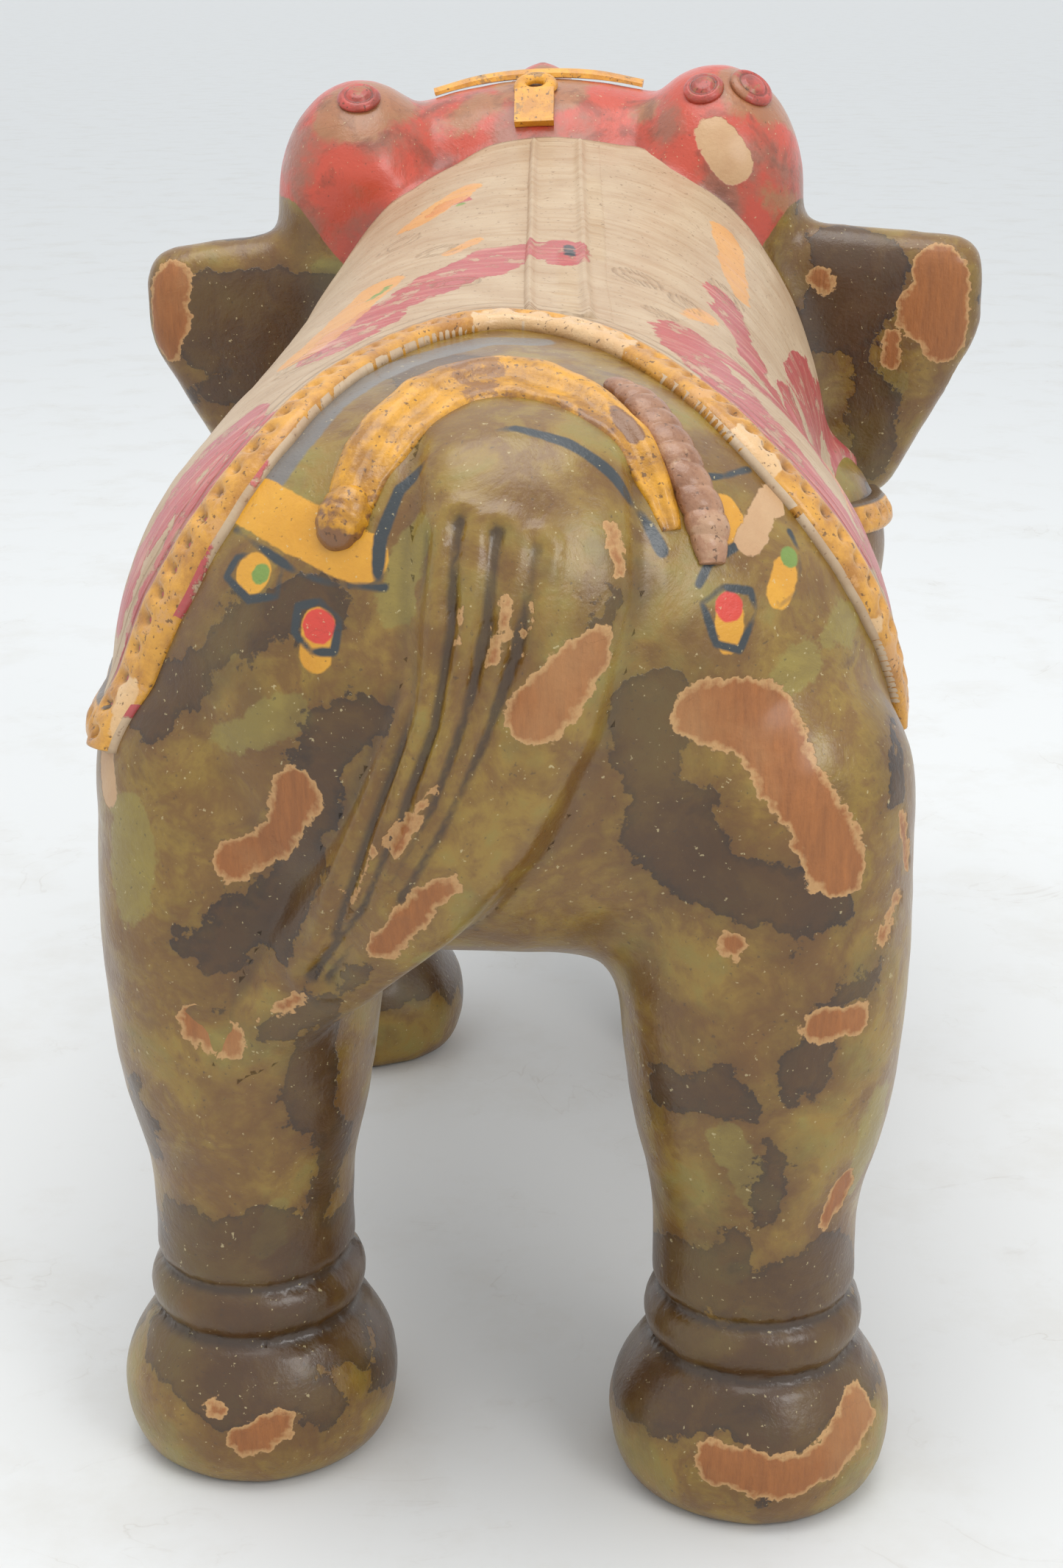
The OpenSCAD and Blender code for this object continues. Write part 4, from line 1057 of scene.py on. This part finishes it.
# Lime gesso, brushed on and scored while soft; crimson distemper left in islands
def makeClothFinish():
    material = bpy.data.materials.new("brushedGesso")
    material.use_nodes = True
    tree = material.node_tree
    shader = tree.nodes["Principled BSDF"]
    place = addNode(tree, "TexCoord", output="Object")
    stretched = addNode(tree, "Mapping", {0: place, 3: (0.1, 1.0, 0.16)})
    brush = addNode(tree, "TexNoise", {"Vector": stretched, "Scale": 1 / (1.6 * mm), "Detail": 4.0,
                                       "Roughness": 0.6})
    blotch = addNode(tree, "TexNoise", {"Vector": place, "Scale": 1 / (9 * mm), "Detail": 5.0,
                                        "Roughness": 0.6})
    grit = addNode(tree, "TexNoise", {"Vector": place, "Scale": 1 / (0.8 * mm), "Detail": 2.0})
    colour = addNode(tree, "Mix", {0: blotch, 6: paint("#a07f5f"), 7: paint("#c9b495")}, 2, data_type="RGBA")
    streak = addNode(tree, "MapRange", {0: brush, 1: 0.5, 2: 0.72, 3: 0.0, 4: 0.5})
    colour = addNode(tree, "Mix", {0: streak, 6: colour, 7: paint("#9c7650")}, 2, data_type="RGBA")
    edge = fieldOf(tree, "edge")
    wear = addNode(tree, "TexNoise", {"Vector": place, "Scale": 1 / (5 * mm), "Detail": 7.0, "Roughness": 0.7,
                                      "W": 4.0}, noise_dimensions="4D")
    left = addNode(tree, "MapRange", {0: wear, 1: 0.55, 2: 0.58, 3: 1.0, 4: 0.3})
    masks = {}
    for name, dark, light, bite in (("crimson", "#9c373a", "#bd5c58", 5.0),
                                    ("orange", "#c77f33", "#e0a558", 1.8),
                                    ("sprig", "#64803c", "#8a9b55", 0.7), ("bar", "#2f3336", "#3c4145", 0.2)):
        mask, _, _ = raggedEdge(tree, fieldOf(tree, name), place, bite, 0.6, 0.3, 3.0)
        tone = addNode(tree, "Mix", {0: blotch, 6: paint(dark), 7: paint(light)}, 2, data_type="RGBA")
        scuff = addNode(tree, "MapRange", {0: brush, 1: 0.5, 2: 0.7, 3: 0.0, 4: 0.55})
        tone = addNode(tree, "Mix", {0: scuff, 6: tone, 7: paint("#cf9f86")}, 2, data_type="RGBA")
        if name == "orange":
            mask = addNode(tree, "Math", {0: mask, 1: 0.75}, operation="MULTIPLY")
        if name == "crimson":
            mask = addNode(tree, "Math", {0: mask, 1: left}, operation="MULTIPLY")
        colour = addNode(tree, "Mix", {0: mask, 6: colour, 7: tone}, 2, data_type="RGBA")
        masks[name] = mask
    # two scored lines beside the border, darkened with painted shade, and the black line of the old pattern
    height = addNode(tree, "Math", {0: brush, 1: 0.35}, operation="MULTIPLY")
    for middle, width, depth in ((7.2, 0.3, -0.4), (8.7, 0.3, -0.4), (11.2, 0.25, -0.2)):
        off = addNode(tree, "Math", {0: edge, 1: -middle}, operation="ADD")
        off = addNode(tree, "Math", {0: off}, operation="ABSOLUTE")
        score = addNode(tree, "MapRange", {0: off, 1: 0.0, 2: width * 1.6, 3: 1.0, 4: 0.0})
        height = addNode(tree, "Math", {0: score, 1: depth, 2: height}, operation="MULTIPLY_ADD")
        shade = addNode(tree, "Math", {0: score, 1: 0.35}, operation="MULTIPLY")
        colour = addNode(tree, "Mix", {0: shade, 6: colour, 7: paint("#7a5a3c")}, 2, data_type="RGBA")
    # the scored curls, sunk and darkened with painted shade
    ring = addNode(tree, "MapRange", {0: fieldOf(tree, "curl"), 1: -0.5, 2: -0.1, 3: 0.0, 4: 1.0})
    height = addNode(tree, "Math", {0: ring, 1: -0.35, 2: height}, operation="MULTIPLY_ADD")
    shade = addNode(tree, "Math", {0: ring, 1: 0.4}, operation="MULTIPLY")
    colour = addNode(tree, "Mix", {0: shade, 6: colour, 7: paint("#8a6a48")}, 2, data_type="RGBA")
    black = addNode(tree, "Math", {0: edge, 1: -6.2}, operation="ADD")
    black = addNode(tree, "Math", {0: black}, operation="ABSOLUTE")
    black = addNode(tree, "MapRange", {0: black, 1: 0.35, 2: 0.6, 3: 1.0, 4: 0.0})
    patchy = addNode(tree, "MapRange", {0: blotch, 1: 0.44, 2: 0.5, 3: 0.0, 4: 0.9})
    black = addNode(tree, "Math", {0: black, 1: patchy}, operation="MULTIPLY")
    colour = addNode(tree, "Mix", {0: black, 6: colour, 7: paint("#33373a")}, 2, data_type="RGBA")
    specks = addNode(tree, "MapRange", {0: grit, 1: 0.34, 2: 0.3, 3: 0.0, 4: 0.5})
    colour = addNode(tree, "Mix", {0: specks, 6: colour, 7: paint("#6d4e34")}, 2, data_type="RGBA")
    tree.links.new(colour, shader.inputs["Base Color"])
    rough = addNode(tree, "Mix", {0: masks["crimson"], 2: 0.55, 3: 0.36}, 0, data_type="FLOAT")
    tree.links.new(rough, shader.inputs["Roughness"])
    height = addNode(tree, "Math", {0: masks["crimson"], 1: 0.12, 2: height}, operation="MULTIPLY_ADD")
    height = addNode(tree, "Math", {0: grit, 1: 0.08, 2: height}, operation="MULTIPLY_ADD")
    bump = addNode(tree, "Bump", {"Height": height, "Distance": mm, "Strength": 0.8})
    tree.links.new(bump, shader.inputs["Normal"])
    shader.inputs["Coat Weight"].default_value = 0.12
    shader.inputs["Coat Roughness"].default_value = 0.25
    return material


# Distemper over gesso beads, rubbed on the crests, with painted shade darkening the creases. light, dark,
# rubbed and under are its colours; flaked shows the under colour where its field says, and lined
# draws the black line along a band's inner edge.
def makeBeadFinish(name, light, dark, rubbed, under, flaked, lined=False):
    material = bpy.data.materials.new(name)
    material.use_nodes = True
    tree = material.node_tree
    shader = tree.nodes["Principled BSDF"]
    place = addNode(tree, "TexCoord", output="Object")
    blotch = addNode(tree, "TexNoise", {"Vector": place, "Scale": 1 / (5 * mm), "Detail": 6.0,
                                        "Roughness": 0.66})
    grit = addNode(tree, "TexNoise", {"Vector": place, "Scale": 1 / (0.7 * mm), "Detail": 3.0})
    tone = addNode(tree, "MapRange", {0: blotch, 1: 0.38, 2: 0.6})
    colour = addNode(tree, "Mix", {0: tone, 6: paint(dark), 7: paint(light)}, 2, data_type="RGBA")
    wear = addNode(tree, "TexNoise", {"Vector": place, "Scale": 1 / (7 * mm), "Detail": 7.0, "Roughness": 0.7,
                                      "W": 6.0}, noise_dimensions="4D")
    wear = addNode(tree, "MapRange", {0: wear, 1: 0.56, 2: 0.6, 3: 0.0, 4: 0.8})
    colour = addNode(tree, "Mix", {0: wear, 6: colour, 7: paint(rubbed)}, 2, data_type="RGBA")
    if lined:
        across = fieldOf(tree, "across")
        line = addNode(tree, "MapRange", {0: across, 1: 4.6, 2: 4.9, 3: 0.0, 4: 0.85})
        colour = addNode(tree, "Mix", {0: line, 6: colour, 7: paint("#3a3d3c")}, 2, data_type="RGBA")
    if flaked:
        flake, _, _ = raggedEdge(tree, fieldOf(tree, "flake"), place, 1.4, 0.5, 0.25)
        bared = addNode(tree, "Mix", {0: blotch, 6: paint(under), 7: paint(rubbed)}, 2, data_type="RGBA")
        colour = addNode(tree, "Mix", {0: flake, 6: colour, 7: bared}, 2, data_type="RGBA")
    pits = addNode(tree, "MapRange", {0: grit, 1: 0.38, 2: 0.32, 3: 0.0, 4: 0.75})
    colour = addNode(tree, "Mix", {0: pits, 6: colour, 7: paint("#4b3018")}, 2, data_type="RGBA")
    # painted shade: darker where the surface folds inwards
    creaseShade = addNode(tree, "NewGeometry", output="Pointiness")
    creaseShade = addNode(tree, "MapRange", {0: creaseShade, 1: 0.49, 2: 0.43, 3: 0.0, 4: 0.8})
    colour = addNode(tree, "Mix", {0: creaseShade, 6: colour, 7: paint("#3d2a1c")}, 2, data_type="RGBA")
    tree.links.new(colour, shader.inputs["Base Color"])
    rough = addNode(tree, "MapRange", {0: blotch, 1: 0.3, 2: 0.7, 3: 0.28, 4: 0.5})
    tree.links.new(rough, shader.inputs["Roughness"])
    height = addNode(tree, "Math", {0: blotch, 1: 0.5}, operation="MULTIPLY")
    height = addNode(tree, "Math", {0: grit, 1: 0.12, 2: height}, operation="MULTIPLY_ADD")
    bump = addNode(tree, "Bump", {"Height": height, "Distance": mm, "Strength": 0.8})
    tree.links.new(bump, shader.inputs["Normal"])
    shader.inputs["Coat Weight"].default_value = 0.3
    shader.inputs["Coat Roughness"].default_value = 0.15
    return material


rosettes = {"places": [(36, 169, 108, 3.9), (-24, 169, 107, 3.6), (-37, 172, 107, 4.2)], "height": 1.5}


# Flat buttons with a turned ring, pressed on the domes
def makeRosettes():
    bm = bmesh.new()
    for x, inset, up, radius in rosettes["places"]:
        seat, normal = bodyTree.find_nearest(at(x, inset, up))[:2]
        turn = normal.to_track_quat("Z", "Y")
        button = bmesh.ops.create_uvsphere(bm, u_segments=40, v_segments=36, radius=1)["verts"]
        for v in button:
            reach = math.hypot(v.co.x, v.co.y)
            ring = 1 - 0.45 * math.exp(-((reach - 0.62) / 0.09) ** 2)
            place = Vector((v.co.x * radius, v.co.y * radius, v.co.z * rosettes["height"] * ring)) * mm
            v.co = seat + turn @ place
    return bm


clothFinish = makeClothFinish()
borderFinish = makeBeadFinish("ochreBorder", "#cf9434", "#a87028", "#c79255", "#d9bd92", True, True)
strapFinish = makeBeadFinish("ochreStrap", "#d0931d", "#99661a", "#80552f", "#7a5230", True)
ropeFinish = makeBeadFinish("rubbedRope", "#a5795a", "#84583c", "#b08a6a", "#7a5230", False)
ochreFinish = makeBeadFinish("ochreLine", "#dd9d2a", "#b97a1e", "#8f6a3c", "#7a5230", False)
roseFinish = makeBeadFinish("redRosette", "#b5483c", "#8a3a2c", "#94653e", "#7a5230", False)
boneFinish = makeBeadFinish("paintedTusk", "#ded2b4", "#b9a47c", "#8f7550", "#7a5230", False)
dowelFinish = makeBeadFinish("bareDowel", "#c19262", "#a87748", "#8f6238", "#7a5230", False)
pupilFinish = makeBeadFinish("blackEye", "#1b1a1a", "#0f0f10", "#3a3126", "#7a5230", False)

closePiece("saddleCloth", makeCloth(), clothFinish, "cloth_gesso", "saddle_cloth")
closePiece("clothBorder", makeBorder(), borderFinish, "yellow_paint", "cloth_border")
closePiece("spineBand", makeSpineBand(), clothFinish, "cloth_gesso", "spine_band")
closePiece("crupperStrap", makeStrap(), strapFinish, "yellow_paint", "crupper_strap")
closePiece("crupperRope", makeRope(), ropeFinish, "bare_wood", "crupper_rope")
closePiece("headRosettes", makeRosettes(), roseFinish, "red_painted_wood", "head_rosettes")
print("gesso laid")
for names, finish in ((("crown_knot", "head_band"), ochreFinish),
                      (("tusk_left", "tusk_right"), boneFinish), (("eye_left", "eye_right"), pupilFinish),
                      (("neck_dowel", "ear_dowel_left", "ear_dowel_right", "tail_pegs"), dowelFinish)):
    for name in names:
        nodes[name].data.materials.clear()
        nodes[name].data.materials.append(finish)

camera = {"from": (-22.7, 394.35, 199), "down": 18.8, "turn": 3.6, "lens": 37.17, "sensor": 24}
lens = bpy.data.cameras.new("camera")
lens.sensor_fit = "VERTICAL"
lens.sensor_height = camera["sensor"]
lens.lens = camera["lens"]
lens.clip_end = 100
viewer = bpy.data.objects.new("camera", lens)
bpy.context.scene.collection.objects.link(viewer)
viewer.location = Vector(camera["from"]) * mm
down, turn = math.radians(camera["down"]), math.radians(camera["turn"])
gaze = Vector((math.sin(turn) * math.cos(down), -math.cos(turn) * math.cos(down), -math.sin(down)))
viewer.rotation_euler = gaze.to_track_quat("-Z", "Y").to_euler()
bpy.context.scene.camera = viewer

lights = {
    "overhead": ((0.05, 0.1, 0.9), (0, 0.02, 0.1), 0.7, 3.6),
    "window": ((-0.6, 0.7, 0.7), (0, 0, 0.08), 0.4, 2.4),
}
for name, (place, target, size, power) in lights.items():
    lamp = bpy.data.lights.new(name, "AREA")
    lamp.shape = "DISK"
    lamp.size = size
    lamp.energy = power
    holder = bpy.data.objects.new(name, lamp)
    holder.location = place
    holder.rotation_euler = (Vector(target) - Vector(place)).to_track_quat("-Z", "Y").to_euler()
    bpy.context.scene.collection.objects.link(holder)

world = bpy.data.worlds.new("studio")
bpy.context.scene.world = world
world.use_nodes = True
world.node_tree.nodes["Background"].inputs["Color"].default_value = paint("#eff3f7")
world.node_tree.nodes["Background"].inputs["Strength"].default_value = 1.1
bpy.context.scene.view_settings.view_transform = "Standard"

floorMesh = bpy.data.meshes.new("floor")
bm = bmesh.new()
bmesh.ops.create_grid(bm, x_segments=1, y_segments=1, size=30)
bm.to_mesh(floorMesh)
bm.free()
floor = bpy.data.objects.new("floor", floorMesh)
bpy.context.scene.collection.objects.link(floor)
floorPaint = bpy.data.materials.new("whiteBoard")
floorPaint.use_nodes = True
tree = floorPaint.node_tree
place = addNode(tree, "TexCoord", output="Object")
stain = addNode(tree, "TexNoise", {"Vector": place, "Scale": 26.0, "Detail": 8.0, "Roughness": 0.7})
stain = addNode(tree, "MapRange", {0: stain, 1: 0.5, 2: 0.72, 3: 0.0, 4: 0.3})
scratch = addNode(tree, "TexNoise", {"Vector": place, "Scale": 22.0, "Detail": 5.0, "Distortion": 1.2})
scratch = addNode(tree, "Math", {0: scratch, 1: -0.5}, operation="ADD")
scratch = addNode(tree, "Math", {0: scratch}, operation="ABSOLUTE")
scratch = addNode(tree, "MapRange", {0: scratch, 1: 0.0, 2: 0.006, 3: 0.9, 4: 0.0})
scratch = addNode(tree, "Math", {0: scratch, 1: stain}, operation="MULTIPLY")
white = addNode(tree, "Mix", {0: stain, 6: paint("#dcdcda"), 7: paint("#c6c0b4")}, 2, data_type="RGBA")
white = addNode(tree, "Mix", {0: scratch, 6: white, 7: paint("#94826c")}, 2, data_type="RGBA")
tree.links.new(white, tree.nodes["Principled BSDF"].inputs["Base Color"])
tree.nodes["Principled BSDF"].inputs["Roughness"].default_value = 0.55
floorMesh.materials.append(floorPaint)
